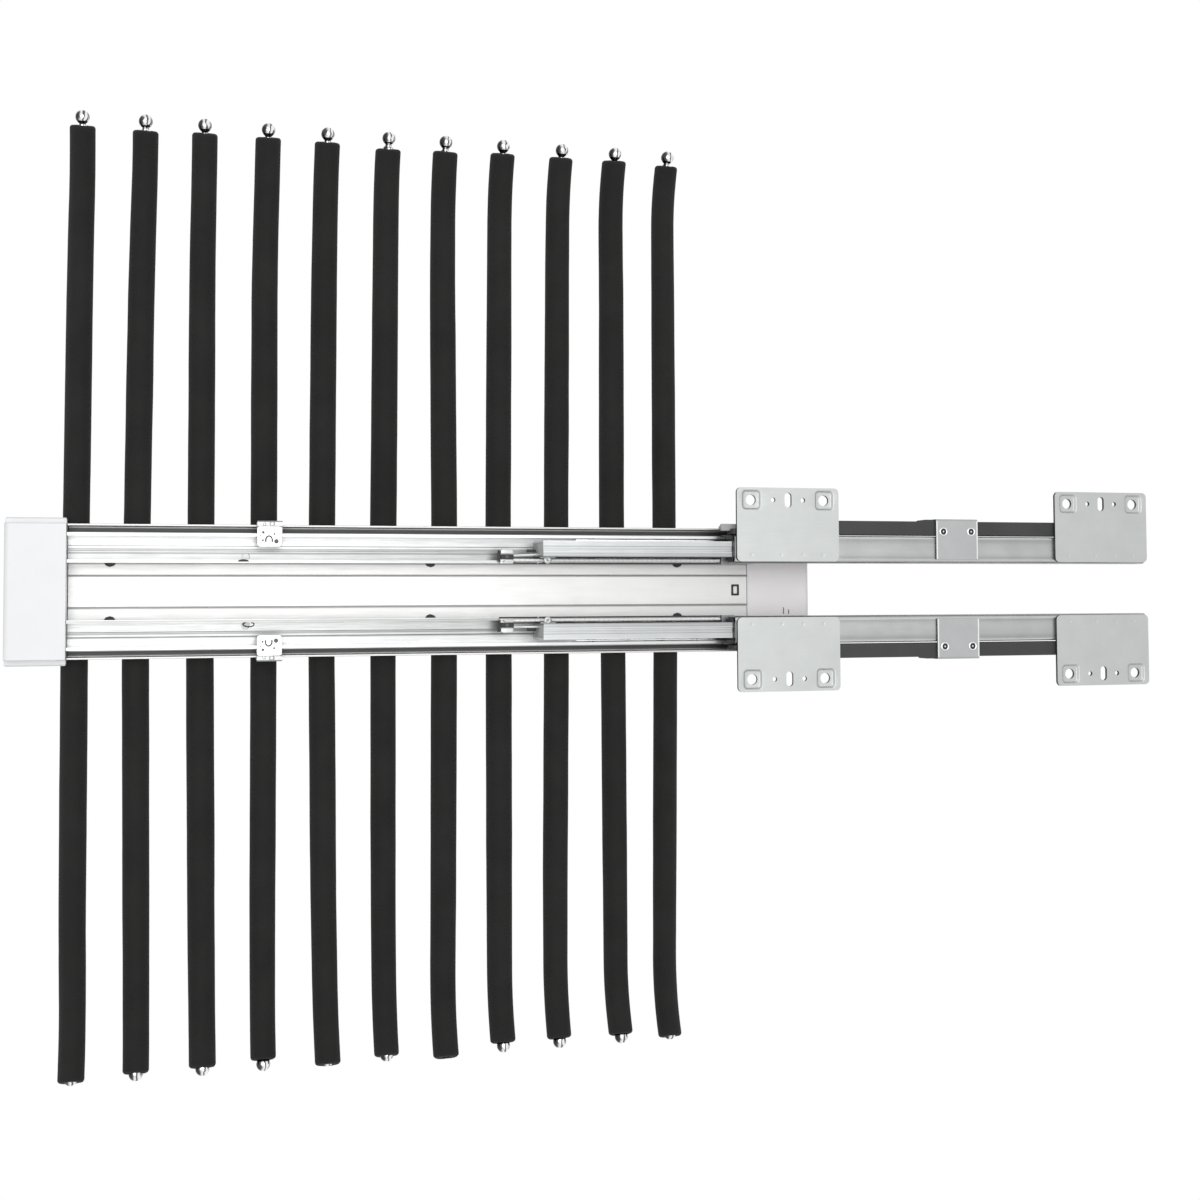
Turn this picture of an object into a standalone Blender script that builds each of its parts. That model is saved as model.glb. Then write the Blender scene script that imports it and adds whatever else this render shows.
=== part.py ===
"""Telescopic hanger rack that screws under a shelf and pulls out to the front.

Two telescopic slides hang from four mounting plates. They carry an aluminium
beam with eleven cross rods, whose twenty-two arms have foam sleeves. The model
shows the rack pulled out.

Frame: +X to the rear, the way the rack closes, +Y to the left, +Z up. The
origin lies midway between the slides and halfway along the fixed rails, on the
plane of the shelf's underside. All sizes are in metres.
"""

import math

import bmesh
import bpy

# Shares
HALF_SHARE = 0.5

# Clearances
SEAT_GAP = 0.0003          # between pieces that touch
CUT_OVERRUN = 0.002        # how far a cutter passes what it cuts

# Hanger rods and their sleeves
ROD_COUNT = 11
ROD_PITCH = 0.0357
ROD_DIAMETER = 0.006
ROD_LENGTH = 0.5612        # along its line, over both end balls
ROD_DROP = 0.040           # rods' axis below the shelf
END_BALL_DIAMETER = 0.008
NECK_DIAMETER = 0.0038
NECK_LENGTH = 0.0015
TIP_BEND_LENGTH = 0.0446   # turned-up stretch before each end ball
TIP_BEND_RADIUS = 0.100
SLEEVE_DIAMETER = 0.015
LEFT_SLEEVE_GAP = 0.0010   # bare rod between a left sleeve and its end ball
RIGHT_SLEEVE_LAP = 0.0030  # how far a right sleeve reaches over its end ball
SLEEVE_MOUTH_DEPTH = 0.004 # widened end of a right sleeve's bore
SLEEVE_CHAMFER = 0.0012

# Beam, an aluminium extrusion
ROD_FRONT_MARGIN = 0.0040  # beam's front end to the first rod
ROD_REAR_MARGIN = 0.0522   # last rod to the beam's rear end
BEAM_WIDTH = 0.0776
BEAM_HEIGHT = 0.024
BEAM_BELOW_ROD = 0.008     # rods' axis to the beam's underside
BEAM_WALL = 0.0012
BEAM_FLOOR = 0.0018
BEAM_TRAY_DEPTH = 0.0093   # top of the side walls down to the floor
BEAM_BASE = 0.0014         # wall below the rods
GROOVE_OFFSET = 0.0093     # fine grooves either side of the middle strip
GROOVE_WIDTH = 0.0007
GROOVE_DEPTH = 0.0007
ACCESS_HOLE_DIAMETER = 0.0070
ACCESS_HOLE_OFFSET = 0.0178    # out from the middle, half under the slides
ACCESS_HOLE_SHARES = (0.056, 0.507, 0.887)   # along the beam from its front
SNAP_WINDOW_LENGTH = 0.0046
SNAP_WINDOW_WIDTH = 0.0067
SNAP_WINDOW_SETBACK = 0.0056   # beam's rear end to the window

# End caps, moulded plastic
FRONT_CAP_LENGTH = 0.0334
REAR_CAP_LENGTH = 0.0424
CAP_WALL = 0.0022
CAP_ROUNDING = 0.003
FRONT_CAP_RISE = 0.0045    # above the beam's side walls
GRIP_RIM_WIDTH = 0.0034
GRIP_RIM_HEIGHT = 0.0045
TONGUE_LENGTH = 0.0125
TONGUE_THICKNESS = 0.0012
TONGUE_WIDTH = 0.014
TONGUE_OFFSET = 0.021      # middle of the front cap's tongues
SNAP_TONGUE_WIDTH = 0.012

# Telescopic slides, galvanised steel
RAIL_LENGTH = 0.2885
RAIL_CENTRE = 0.0250       # slide's middle, out from the rack's middle
RAIL_WIDTH = 0.0172
RAIL_SHEET = 0.0012
FIXED_RAIL_HEIGHT = 0.0132
MOVING_RAIL_HEIGHT = 0.0125
RAIL_LIP = 0.0006          # how far the flanges' ends turn in
RAIL_LIP_HEIGHT = 0.0012
TIGHT_BEND = 0.0014
WIDE_BEND = 0.003          # the fixed rail's inner bend
SWAGE_WIDTH = 0.0032
SWAGE_DEPTH = 0.0003
MID_LENGTH = 0.255
MID_REACH = 0.1211         # mid rail's front ahead of the fixed rail's, rack pulled out
BALL_SPACE = 0.0026        # between a rail's flange and the mid rail
MID_CLEARANCE = 0.0011     # above and below the mid rail
TRACK_DEPTH = 0.0004
TRACK_WIDTH = 0.0026
RACK_OVERLAP = 0.0188      # beam's rear end past the fixed rails' front, rack pulled out
TRAVEL = 0.300             # from pulled out to closed
KEEPER_HOLE_DIAMETER = 0.005
KEEPER_HOLE_SETBACK = 0.0060   # ahead of the stop clip

# Ball cages
CAGE_LENGTH = 0.090
CAGE_SHEET = 0.0005
CAGE_DEPTH = 0.0082        # height of a cage's sides
CAGE_BALLS = 4             # on each side of a cage
BALL_RISE = 0.0016         # ball's middle above a cage side's open edge

# Mounting plates
PLATE_THICKNESS = 0.002
PLATE_LENGTH = 0.0678
PLATE_WIDTH = 0.0460
PLATE_INSET = 0.0009       # from the rail's inner face to the plate's inner edge
PLATE_SETBACK = 0.0006     # front plate's front edge behind the rail's front end
PLATE_CORNER = 0.003
PAD_SIZE = 0.0122          # sunk pads round the screw holes
PAD_DEPTH = 0.0014
PAD_SLOPE = 0.0013
PAD_CORNER = 0.0022
SCREW_HOLE_DIAMETER = 0.0066
SCREW_HOLE_EDGE = 0.0077   # from the plate's outer edge
SCREW_HOLE_END = 0.0097    # from the plate's ends
SLOT_WIDTH = 0.0046
SLOT_LENGTH = 0.0092
PILOT_HOLE_DIAMETER = 0.003
PILOT_HOLE_SPACING = 0.0198
CLINCH_DIAMETER = 0.0026
CLINCH_DEPTH = 0.0002
CLINCH_EDGE = 0.0042       # from the plate's inner edge
CLINCH_SHARES = (0.14, 0.43, 0.64, 0.84)   # along the plate

# Soft-close dampers
DAMPER_WIDTH = 0.0088
DAMPER_GAP = 0.0008        # between fixed rail and damper
DAMPER_HEIGHT = 0.0127
DAMPER_LENGTH = 0.250
DAMPER_SETBACK = 0.0068    # behind the fixed rail's front end
DAMPER_NOSE_LENGTH = 0.0078
DAMPER_NOSE_WIDTH = 0.0034
DAMPER_LUG_LENGTH = 0.0065
DAMPER_LUG_WIDTH = 0.0012
TRIGGER_SLOT_LENGTH = 0.100
TRIGGER_LENGTH = 0.058
TRIGGER_WIDTH = 0.0044
TRIGGER_HEIGHT = 0.003
TRIGGER_NECK = 0.0022
TRIGGER_ROOF = 0.0068      # damper's top down to the trigger slot
TRIGGER_REACH = 0.0063     # tip ahead of the fixed rail's front end
TRIGGER_STROKE = 0.025
TRIGGER_PEG_LENGTH = 0.005
TRIGGER_PEG_DEPTH = 0.0026 # below the damper
TRIGGER_PEG_SETBACK = 0.011

# Damper brackets and their rivets
BRACKET_LENGTH = 0.0294
BRACKET_SHEET = 0.0012
BRACKET_FLANGE = 0.006
BRACKET_INSET = 0.0024
BRACKET_SETBACK = 0.1359   # behind the fixed rail's front end
RIVET_HOLE_SPACING = 0.0195
RIVET_SHANK = 0.0026
RIVET_HEAD = 0.0052
RIVET_HEAD_HEIGHT = 0.0004
RIVET_DEPTH = 0.005
RIVET_EYE = 0.0016         # hollow in a rivet's head
RIVET_EYE_DEPTH = 0.0025

# Latches at the mid rails' front ends
LATCH_LENGTH = 0.0098      # latch's head
LATCH_WIDTH = 0.0086
LATCH_STROKE = 0.015       # the head's way back to the mid rail
LATCH_ARM = 0.0016
LATCH_ARM_INSIDE = 0.0135  # guide arm's stretch inside the mid rail
LATCH_NOTCH_DEPTH = 0.0055
LATCH_NOTCH_WIDTH = 0.003
LATCH_CHAMFER = 0.0015
SPRING_DIAMETER = 0.003
SPRING_WIRE = 0.0006
SPRING_LENGTH = 0.1142
SPRING_CURLS = 18
SPRING_OFFSET = 0.0010     # spring's middle out from the rail's inner face
SPRING_FRONT = 0.0026      # spring's front end behind the mid rail's front end
ANCHOR_LENGTH = 0.0086
GUIDE_LENGTH = 0.010
GUIDE_EAR_DIAMETER = 0.0046
GUIDE_SETBACK = 0.0054     # ear's middle behind the mid rail's front end
GUIDE_SHEET = 0.0008
GUIDE_EAR_THICKNESS = 0.0007

# Stop clips over the beam's side walls
CLIP_LENGTH = 0.0144
CLIP_SHEET = 0.0011
CLIP_STOP_GAP = 0.0032     # to the closed mid rail
CLIP_LEG = 0.0075
CLIP_REACH_INSIDE = 0.0060 # inside the moving rail's outer flange
CLIP_FIN_HEIGHT = 0.0008
WELD_DEPTH = 0.0004        # how far joined shapes reach into each other

# How finely round shapes are drawn
ROD_SIDES = 8
SLEEVE_SIDES = 10
HOLE_SIDES = 10
SMALL_HOLE_SIDES = 8
BALL_SIDES = 6
BALL_RINGS = 4
END_BALL_RINGS = 3
BEND_STEPS = 3
TIP_BEND_STEPS = 3
CURL_POINTS = 8
SMOOTH_ANGLE = math.radians(35.0)

# Heights worked out from the sizes above
PLATE_BOTTOM = -PLATE_THICKNESS
FIXED_TOP = PLATE_BOTTOM - SEAT_GAP
FIXED_BOTTOM = FIXED_TOP - FIXED_RAIL_HEIGHT
ROD_HEIGHT = -ROD_DROP
BEAM_BOTTOM = ROD_HEIGHT - BEAM_BELOW_ROD
BEAM_TOP = BEAM_BOTTOM + BEAM_HEIGHT
FLOOR_TOP = BEAM_TOP - BEAM_TRAY_DEPTH
FLOOR_BOTTOM = FLOOR_TOP - BEAM_FLOOR
MOVING_BOTTOM = FLOOR_TOP + SEAT_GAP
MOVING_TOP = MOVING_BOTTOM + MOVING_RAIL_HEIGHT
MID_BOTTOM = MOVING_BOTTOM + RAIL_SHEET + MID_CLEARANCE
MID_TOP = FIXED_TOP - RAIL_SHEET - MID_CLEARANCE

# Distances out from the middle
RAIL_INNER = RAIL_CENTRE - RAIL_WIDTH / 2
RAIL_OUTER = RAIL_CENTRE + RAIL_WIDTH / 2
MID_WIDTH = RAIL_WIDTH - 2 * (RAIL_SHEET + BALL_SPACE)
MID_INNER = RAIL_CENTRE - MID_WIDTH / 2
MID_OUTER = RAIL_CENTRE + MID_WIDTH / 2
BEAM_HALF = BEAM_WIDTH / 2
PLATE_INNER = RAIL_INNER + PLATE_INSET
PLATE_OUTER = PLATE_INNER + PLATE_WIDTH
DAMPER_INNER = RAIL_OUTER + DAMPER_GAP
DAMPER_OUTER = DAMPER_INNER + DAMPER_WIDTH
SPRING_Y = RAIL_INNER + SPRING_OFFSET

# Places along an arm, from its rod's middle
ARM_END = ROD_LENGTH / 2 - END_BALL_DIAMETER
ARM_STRAIGHT = ARM_END - TIP_BEND_LENGTH

# Places along the slides
RAIL_FRONT = -RAIL_LENGTH / 2
RAIL_REAR = RAIL_LENGTH / 2
BEAM_LENGTH = (ROD_COUNT - 1) * ROD_PITCH + ROD_FRONT_MARGIN + ROD_REAR_MARGIN
BEAM_REAR = RAIL_FRONT + RACK_OVERLAP
BEAM_FRONT = BEAM_REAR - BEAM_LENGTH
FIRST_ROD = BEAM_FRONT + ROD_FRONT_MARGIN
MID_FRONT = RAIL_FRONT - MID_REACH
MID_REAR = MID_FRONT + MID_LENGTH
CLIP_REAR = MID_FRONT - TRAVEL / 2 - CLIP_STOP_GAP
CLIP_FRONT = CLIP_REAR - CLIP_LENGTH
BRACKET_FRONT = RAIL_FRONT + BRACKET_SETBACK
FRONT_PLATE_FRONT = RAIL_FRONT + PLATE_SETBACK
REAR_PLATE_FRONT = RAIL_REAR - PLATE_LENGTH

# Heights of the ball rows and of the latch
UPPER_CAGE_TOP = MID_TOP + (MID_CLEARANCE + CAGE_SHEET) / 2
LOWER_CAGE_BOTTOM = MID_BOTTOM - (MID_CLEARANCE + CAGE_SHEET) / 2
UPPER_BALL_HEIGHT = UPPER_CAGE_TOP - CAGE_DEPTH + BALL_RISE
LOWER_BALL_HEIGHT = LOWER_CAGE_BOTTOM + CAGE_DEPTH - BALL_RISE
BEARING_BALL = BALL_SPACE + TRACK_DEPTH - 2 * SEAT_GAP
LATCH_TIP = MID_FRONT - SEAT_GAP - LATCH_STROKE - LATCH_LENGTH
LATCH_BOTTOM = MOVING_TOP + SEAT_GAP
LATCH_TOP = LATCH_BOTTOM + SPRING_DIAMETER
TAB_TOP = FIXED_BOTTOM - SEAT_GAP

SIDES = (("left", 1), ("right", -1))


def clear_scene():
    """Remove everything that the scene holds."""
    for scene_object in list(bpy.data.objects):
        bpy.data.objects.remove(scene_object, do_unlink=True)


def make_material(name, colour, roughness, metallic):
    """One Principled material."""
    material = bpy.data.materials.new(name)
    material.use_nodes = True
    shader = material.node_tree.nodes["Principled BSDF"]
    shader.inputs["Base Color"].default_value = (*colour, 1.0)
    shader.inputs["Roughness"].default_value = roughness
    shader.inputs["Metallic"].default_value = metallic
    return material


def sheet_mesh(name, bm, material=None):
    """Turn a bmesh into a smooth-shaded mesh with creases."""
    mesh = bpy.data.meshes.new(name)
    bm.to_mesh(mesh)
    bm.free()
    mesh.shade_smooth()
    mesh.set_sharp_from_angle(angle=SMOOTH_ANGLE)
    if material:
        mesh.materials.append(material)
    return mesh


def place_mesh(name, mesh, place=(0.0, 0.0, 0.0)):
    """Put a mesh in the scene as a named object."""
    made = bpy.data.objects.new(name, mesh)
    made.location = place
    bpy.context.collection.objects.link(made)
    return made


def solid_mesh(name, bm, material=None):
    """Turn a closed bmesh into a mesh whose faces point out."""
    bmesh.ops.recalc_face_normals(bm, faces=bm.faces)
    return sheet_mesh(name, bm, material)


def add_object(name, bm, material=None):
    """Turn a closed bmesh into a named object."""
    return place_mesh(name, solid_mesh(name, bm, material))


def carry(name, place, pieces):
    """Put pieces on an empty that stands on their joint's axis."""
    empty = bpy.data.objects.new(name, None)
    empty.location = place
    bpy.context.collection.objects.link(empty)
    for piece in pieces:
        piece.parent = empty
        piece.location -= empty.location


def make_cutter(name, bm):
    """An object that only cuts others."""
    cutter = add_object(name, bm)
    cutter.hide_render = True
    cutter.display_type = "WIRE"
    return cutter


def cut(target, cutter):
    """Take the cutter's shape out of the target."""
    modifier = target.modifiers.new(cutter.name, "BOOLEAN")
    modifier.operation = "DIFFERENCE"
    modifier.solver = "EXACT"
    modifier.object = cutter


def join(target, bm, name):
    """Unite a further solid with the target."""
    added = make_cutter(name, bm)
    modifier = target.modifiers.new(name, "BOOLEAN")
    modifier.operation = "UNION"
    modifier.solver = "EXACT"
    modifier.object = added


def on_axis(axis, across, up, along):
    """A point from its place in a section and its place along an axis."""
    if axis == "X":
        return (along, across, up)
    if axis == "Y":
        return (across, along, up)
    return (across, up, along)


def add_prism(bm, axis, start, end, outline, holes=()):
    """Add a solid of one section, with any holes, between two places on an axis."""
    rims = []
    for loop in (outline, *holes):
        low = [bm.verts.new(on_axis(axis, a, b, start)) for a, b in loop]
        high = [bm.verts.new(on_axis(axis, a, b, end)) for a, b in loop]
        for i in range(len(loop)):
            j = (i + 1) % len(loop)
            bm.faces.new((low[i], low[j], high[j], high[i]))
        rims.append((low, high))
    for which in (0, 1):
        if not holes:
            bm.faces.new(rims[0][which])
            continue
        edges = []
        for rim in rims:
            verts = rim[which]
            for i, vert in enumerate(verts):
                edges.append(bm.edges.get((vert, verts[(i + 1) % len(verts)])))
        bmesh.ops.triangle_fill(bm, edges=edges, use_beauty=True)


def prism(name, material, axis, start, end, outline, holes=()):
    """An object of one section along an axis."""
    bm = bmesh.new()
    add_prism(bm, axis, start, end, outline, holes)
    return add_object(name, bm, material)


def box_outline(low, high):
    """The four corners of a rectangle."""
    return [(low[0], low[1]), (high[0], low[1]), (high[0], high[1]), (low[0], high[1])]


def arc(centre, radius, start_degrees, end_degrees, steps=BEND_STEPS):
    """Points along an arc, both ends included."""
    points = []
    for i in range(steps + 1):
        angle = math.radians(start_degrees + (end_degrees - start_degrees) * i / steps)
        points.append((centre[0] + radius * math.cos(angle), centre[1] + radius * math.sin(angle)))
    return points


def circle(centre, diameter, sides):
    """Points round a circle, none of them right at the top."""
    points = []
    for i in range(sides):
        angle = math.tau * (i + HALF_SHARE) / sides
        points.append((centre[0] + diameter / 2 * math.cos(angle),
                       centre[1] + diameter / 2 * math.sin(angle)))
    return points


def rounded_box(low, high, radius, steps=BEND_STEPS):
    """A rectangle with round corners, counter-clockwise."""
    left, bottom = low[0] + radius, low[1] + radius
    right, top = high[0] - radius, high[1] - radius
    return (arc((right, bottom), radius, -90, 0, steps) + arc((right, top), radius, 0, 90, steps)
            + arc((left, top), radius, 90, 180, steps) + arc((left, bottom), radius, 180, 270, steps))


def across(outline, sign):
    """Put a section of the left side on either side of the rack."""
    return [(sign * y, z) for y, z in outline]


def across_plan(outline, sign):
    """Put a plan outline of the left side on either side of the rack."""
    return [(x, sign * y) for x, y in outline]


def add_turned(bm, profile, sides, centre=(0.0, 0.0, 0.0)):
    """Add a solid turned about an axis along Y, from (place, radius) pairs."""
    rings = []
    for place, radius in profile:
        if radius == 0:
            rings.append([bm.verts.new((centre[0], centre[1] + place, centre[2]))])
            continue
        ring = []
        for i in range(sides):
            angle = math.tau * i / sides
            ring.append(bm.verts.new((centre[0] + radius * math.cos(angle), centre[1] + place,
                                      centre[2] + radius * math.sin(angle))))
        rings.append(ring)
    for first, second in zip(rings, rings[1:]):
        for i in range(sides):
            j = (i + 1) % sides
            corners = []
            for vert in (first[i % len(first)], first[j % len(first)],
                         second[j % len(second)], second[i % len(second)]):
                if vert not in corners:
                    corners.append(vert)
            bm.faces.new(corners)
    return rings


def half_ball(middle, radius, start_share, rings, direction):
    """Profile of a ball from a share of its half turn out to its pole."""
    profile = []
    for i in range(rings + 1):
        angle = math.pi * (start_share + (1 - start_share) * (i + 1) / (rings + 1))
        if i == rings:
            profile.append((middle + direction * radius, 0))
        else:
            profile.append((middle - direction * radius * math.cos(angle), radius * math.sin(angle)))
    return profile


def add_ball(bm, centre, diameter):
    """Add one bearing ball."""
    radius = diameter / 2
    profile = []
    for i in range(BALL_RINGS + 1):
        angle = math.pi * i / BALL_RINGS
        inner = 0 < i < BALL_RINGS
        profile.append((-radius * math.cos(angle), radius * math.sin(angle) if inner else 0))
    add_turned(bm, profile, BALL_SIDES, centre)


def channel_section(web, direction, height, inner_bend, outer_bend):
    """Section of a rail: a web, two flanges and their turned-in ends.

    The web's outer face is at height web, and the flanges run from it in the
    given direction, 1 for up and -1 for down.
    """
    inner, outer = RAIL_INNER, RAIL_OUTER
    end = web + direction * height
    lip_base = end - direction * RAIL_LIP_HEIGHT
    lip_foot = lip_base - direction * RAIL_LIP
    web_inside = web + direction * RAIL_SHEET
    swage = web_inside - direction * SWAGE_DEPTH
    swage_from = RAIL_CENTRE - SWAGE_WIDTH / 2
    swage_to = RAIL_CENTRE + SWAGE_WIDTH / 2

    def bend(corner_y, corner_z, radius, toward_y):
        middle = (corner_y + toward_y * radius, corner_z + direction * radius)
        first = 180 if toward_y > 0 else 0
        last = (270 if toward_y > 0 else -90) if direction > 0 else 90
        return arc(middle, radius, first, last)

    inner_radius = max(inner_bend - RAIL_SHEET, SEAT_GAP)
    outer_radius = max(outer_bend - RAIL_SHEET, SEAT_GAP)
    outside_in = bend(inner, web, inner_bend, 1)
    outside_out = bend(outer, web, outer_bend, -1)
    inside_in = bend(inner + RAIL_SHEET, web_inside, inner_radius, 1)
    inside_out = bend(outer - RAIL_SHEET, web_inside, outer_radius, -1)
    return ([(inner, end)] + outside_in + outside_out[::-1] + [(outer, end)]
            + [(outer - RAIL_SHEET - RAIL_LIP, end), (outer - RAIL_SHEET - RAIL_LIP, lip_base),
               (outer - RAIL_SHEET, lip_foot)]
            + inside_out
            + [(swage_to, web_inside), (swage_to - SWAGE_DEPTH, swage),
               (swage_from + SWAGE_DEPTH, swage), (swage_from, web_inside)]
            + inside_in[::-1]
            + [(inner + RAIL_SHEET, lip_foot), (inner + RAIL_SHEET + RAIL_LIP, lip_base),
               (inner + RAIL_SHEET + RAIL_LIP, end)])


# Slides

def fixed_rail(side, sign, steel):
    """Rail that hangs from the mounting plates, open below."""
    section = channel_section(FIXED_TOP, -1, FIXED_RAIL_HEIGHT, WIDE_BEND, TIGHT_BEND)
    prism(f"fixed_rail_{side}", steel, "X", RAIL_FRONT, RAIL_REAR, across(section, sign))


def moving_rail(side, sign, steel):
    """Rail that lies in the beam, open above, with a keeper hole and the closing stop.

    The stop is a clip over the rail's outer flange and the beam's side wall.
    """
    section = channel_section(MOVING_BOTTOM, 1, MOVING_RAIL_HEIGHT, TIGHT_BEND, TIGHT_BEND)
    rail = prism(f"moving_rail_{side}", steel, "X", BEAM_FRONT, BEAM_REAR, across(section, sign))
    hole = bmesh.new()
    hole_y = RAIL_INNER + RAIL_SHEET + KEEPER_HOLE_DIAMETER / 2
    centre = (CLIP_FRONT - KEEPER_HOLE_SETBACK, sign * hole_y)
    add_prism(hole, "Z", MOVING_BOTTOM - CUT_OVERRUN, MOVING_BOTTOM + RAIL_SHEET + CUT_OVERRUN,
              circle(centre, KEEPER_HOLE_DIAMETER, SMALL_HOLE_SIDES))
    cut(rail, make_cutter(f"keeper_hole_cutter_{side}", hole))
    clip = bmesh.new()
    add_prism(clip, "X", CLIP_FRONT, CLIP_REAR, across(stop_clip_section(), sign))
    join(rail, clip, f"stop_clip_{side}")
    return rail


def stop_clip_section():
    """Section of the clip: inner leg, top with a raised edge, outer leg."""
    inner = RAIL_OUTER - RAIL_SHEET - CLIP_REACH_INSIDE
    outer = BEAM_HALF + SEAT_GAP + CLIP_SHEET
    bottom = MOVING_TOP - WELD_DEPTH
    top = bottom + CLIP_SHEET + WELD_DEPTH
    return [(inner, bottom - CLIP_LEG), (inner + CLIP_SHEET, bottom - CLIP_LEG),
            (inner + CLIP_SHEET, bottom), (outer - CLIP_SHEET, bottom),
            (outer - CLIP_SHEET, bottom - CLIP_LEG), (outer, bottom - CLIP_LEG),
            (outer, top - CLIP_SHEET), (outer + CLIP_FIN_HEIGHT, top),
            (outer, top + CLIP_FIN_HEIGHT), (outer - 2 * CLIP_SHEET, top + CLIP_FIN_HEIGHT),
            (outer - 2 * CLIP_SHEET - CLIP_FIN_HEIGHT, top), (inner, top)]


def mid_rail(side, sign, steel):
    """Hollow rail between the two others, with ball tracks, spring anchor and spring guide."""
    def track(y, inward, height, downwards):
        rows = [(y, height + TRACK_WIDTH / 2), (y + inward * TRACK_DEPTH, height),
                (y, height - TRACK_WIDTH / 2)]
        return rows if downwards else rows[::-1]

    swage = SWAGE_WIDTH / 2
    outline = [(MID_INNER, MID_TOP)]
    outline += track(MID_INNER, 1, UPPER_BALL_HEIGHT, True)
    outline += track(MID_INNER, 1, LOWER_BALL_HEIGHT, True)
    outline += [(MID_INNER, MID_BOTTOM), (MID_OUTER, MID_BOTTOM)]
    outline += track(MID_OUTER, -1, LOWER_BALL_HEIGHT, False)
    outline += track(MID_OUTER, -1, UPPER_BALL_HEIGHT, False)
    outline += [(MID_OUTER, MID_TOP), (RAIL_CENTRE + swage, MID_TOP),
                (RAIL_CENTRE + swage - SWAGE_DEPTH, MID_TOP - SWAGE_DEPTH),
                (RAIL_CENTRE - swage + SWAGE_DEPTH, MID_TOP - SWAGE_DEPTH),
                (RAIL_CENTRE - swage, MID_TOP)]
    hollow = box_outline((MID_INNER + RAIL_SHEET, MID_BOTTOM + RAIL_SHEET),
                         (MID_OUTER - RAIL_SHEET, MID_TOP - RAIL_SHEET))
    rail = prism(f"mid_rail_{side}", steel, "X", MID_FRONT, MID_REAR, across(outline, sign),
                 (across(hollow, sign),))
    join(rail, spring_anchor(sign), f"spring_anchor_{side}")
    join(rail, spring_guide_plate(sign), f"spring_guide_{side}")
    join(rail, spring_guide_ear(sign), f"spring_guide_ear_{side}")
    return rail


def spring_anchor(sign):
    """Block on the mid rail's side that holds the spring's rear end."""
    bm = bmesh.new()
    front = MID_FRONT + SPRING_FRONT + SPRING_LENGTH
    inner = SPRING_Y - SPRING_DIAMETER / 2
    outline = box_outline((inner, LATCH_BOTTOM), (MID_INNER + WELD_DEPTH, TAB_TOP))
    add_prism(bm, "X", front, front + ANCHOR_LENGTH, across(outline, sign))
    return bm


def spring_guide_plate(sign):
    """Small plate on the mid rail's side, above the spring."""
    bm = bmesh.new()
    middle = MID_FRONT + GUIDE_SETBACK
    low_y, high_y = sorted((sign * (MID_INNER - GUIDE_SHEET), sign * (MID_INNER + WELD_DEPTH)))
    add_prism(bm, "Y", low_y, high_y,
              rounded_box((middle - GUIDE_LENGTH / 2, LATCH_TOP + SEAT_GAP),
                          (middle + GUIDE_LENGTH / 2, TAB_TOP), GUIDE_SHEET / 2, 1))
    return bm


def spring_guide_ear(sign):
    """Round ear that keeps the spring down."""
    bm = bmesh.new()
    middle = MID_FRONT + GUIDE_SETBACK
    ear_y = MID_INNER - GUIDE_EAR_DIAMETER / 2 + WELD_DEPTH
    bottom = LATCH_TOP + 2 * SEAT_GAP
    add_prism(bm, "Z", bottom, bottom + GUIDE_EAR_THICKNESS,
              circle((middle, sign * ear_y), GUIDE_EAR_DIAMETER, 2 * HOLE_SIDES))
    return bm


def ball_cage(name, sign, web, direction, ball_height, middle, material):
    """A cage astride the mid rail, with a row of balls along each side."""
    strip_in = MID_INNER - (BALL_SPACE + CAGE_SHEET) / 2 + TRACK_DEPTH / 2
    strip_out = MID_OUTER + (BALL_SPACE + CAGE_SHEET) / 2 - TRACK_DEPTH / 2
    open_edge = web + direction * CAGE_DEPTH
    inside = web + direction * CAGE_SHEET
    section = [(strip_in, web), (strip_out, web), (strip_out, open_edge),
               (strip_out - CAGE_SHEET, open_edge), (strip_out - CAGE_SHEET, inside),
               (strip_in + CAGE_SHEET, inside), (strip_in + CAGE_SHEET, open_edge),
               (strip_in, open_edge)]
    start = middle - CAGE_LENGTH / 2
    cage = prism(name, material, "X", start, start + CAGE_LENGTH, across(section, sign))
    balls = bmesh.new()
    for i in range(CAGE_BALLS):
        x = start + (i + HALF_SHARE) / CAGE_BALLS * CAGE_LENGTH
        for strip in (strip_in + CAGE_SHEET / 2, strip_out - CAGE_SHEET / 2):
            add_ball(balls, (x, sign * strip, ball_height), BEARING_BALL)
    join(cage, balls, f"{name}_balls")
    return cage


# Mounting plates and dampers

def add_rim(bm, points, height):
    """Closed ring of edges at one height."""
    verts = [bm.verts.new((x, y, height)) for x, y in points]
    edges = [bm.edges.new((verts[i], verts[(i + 1) % len(verts)])) for i in range(len(verts))]
    return verts, edges


def bridge(bm, first, second):
    """Faces between two rims of equally many points."""
    for i in range(len(first)):
        j = (i + 1) % len(first)
        bm.faces.new((first[i], first[j], second[j], second[i]))


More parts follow.
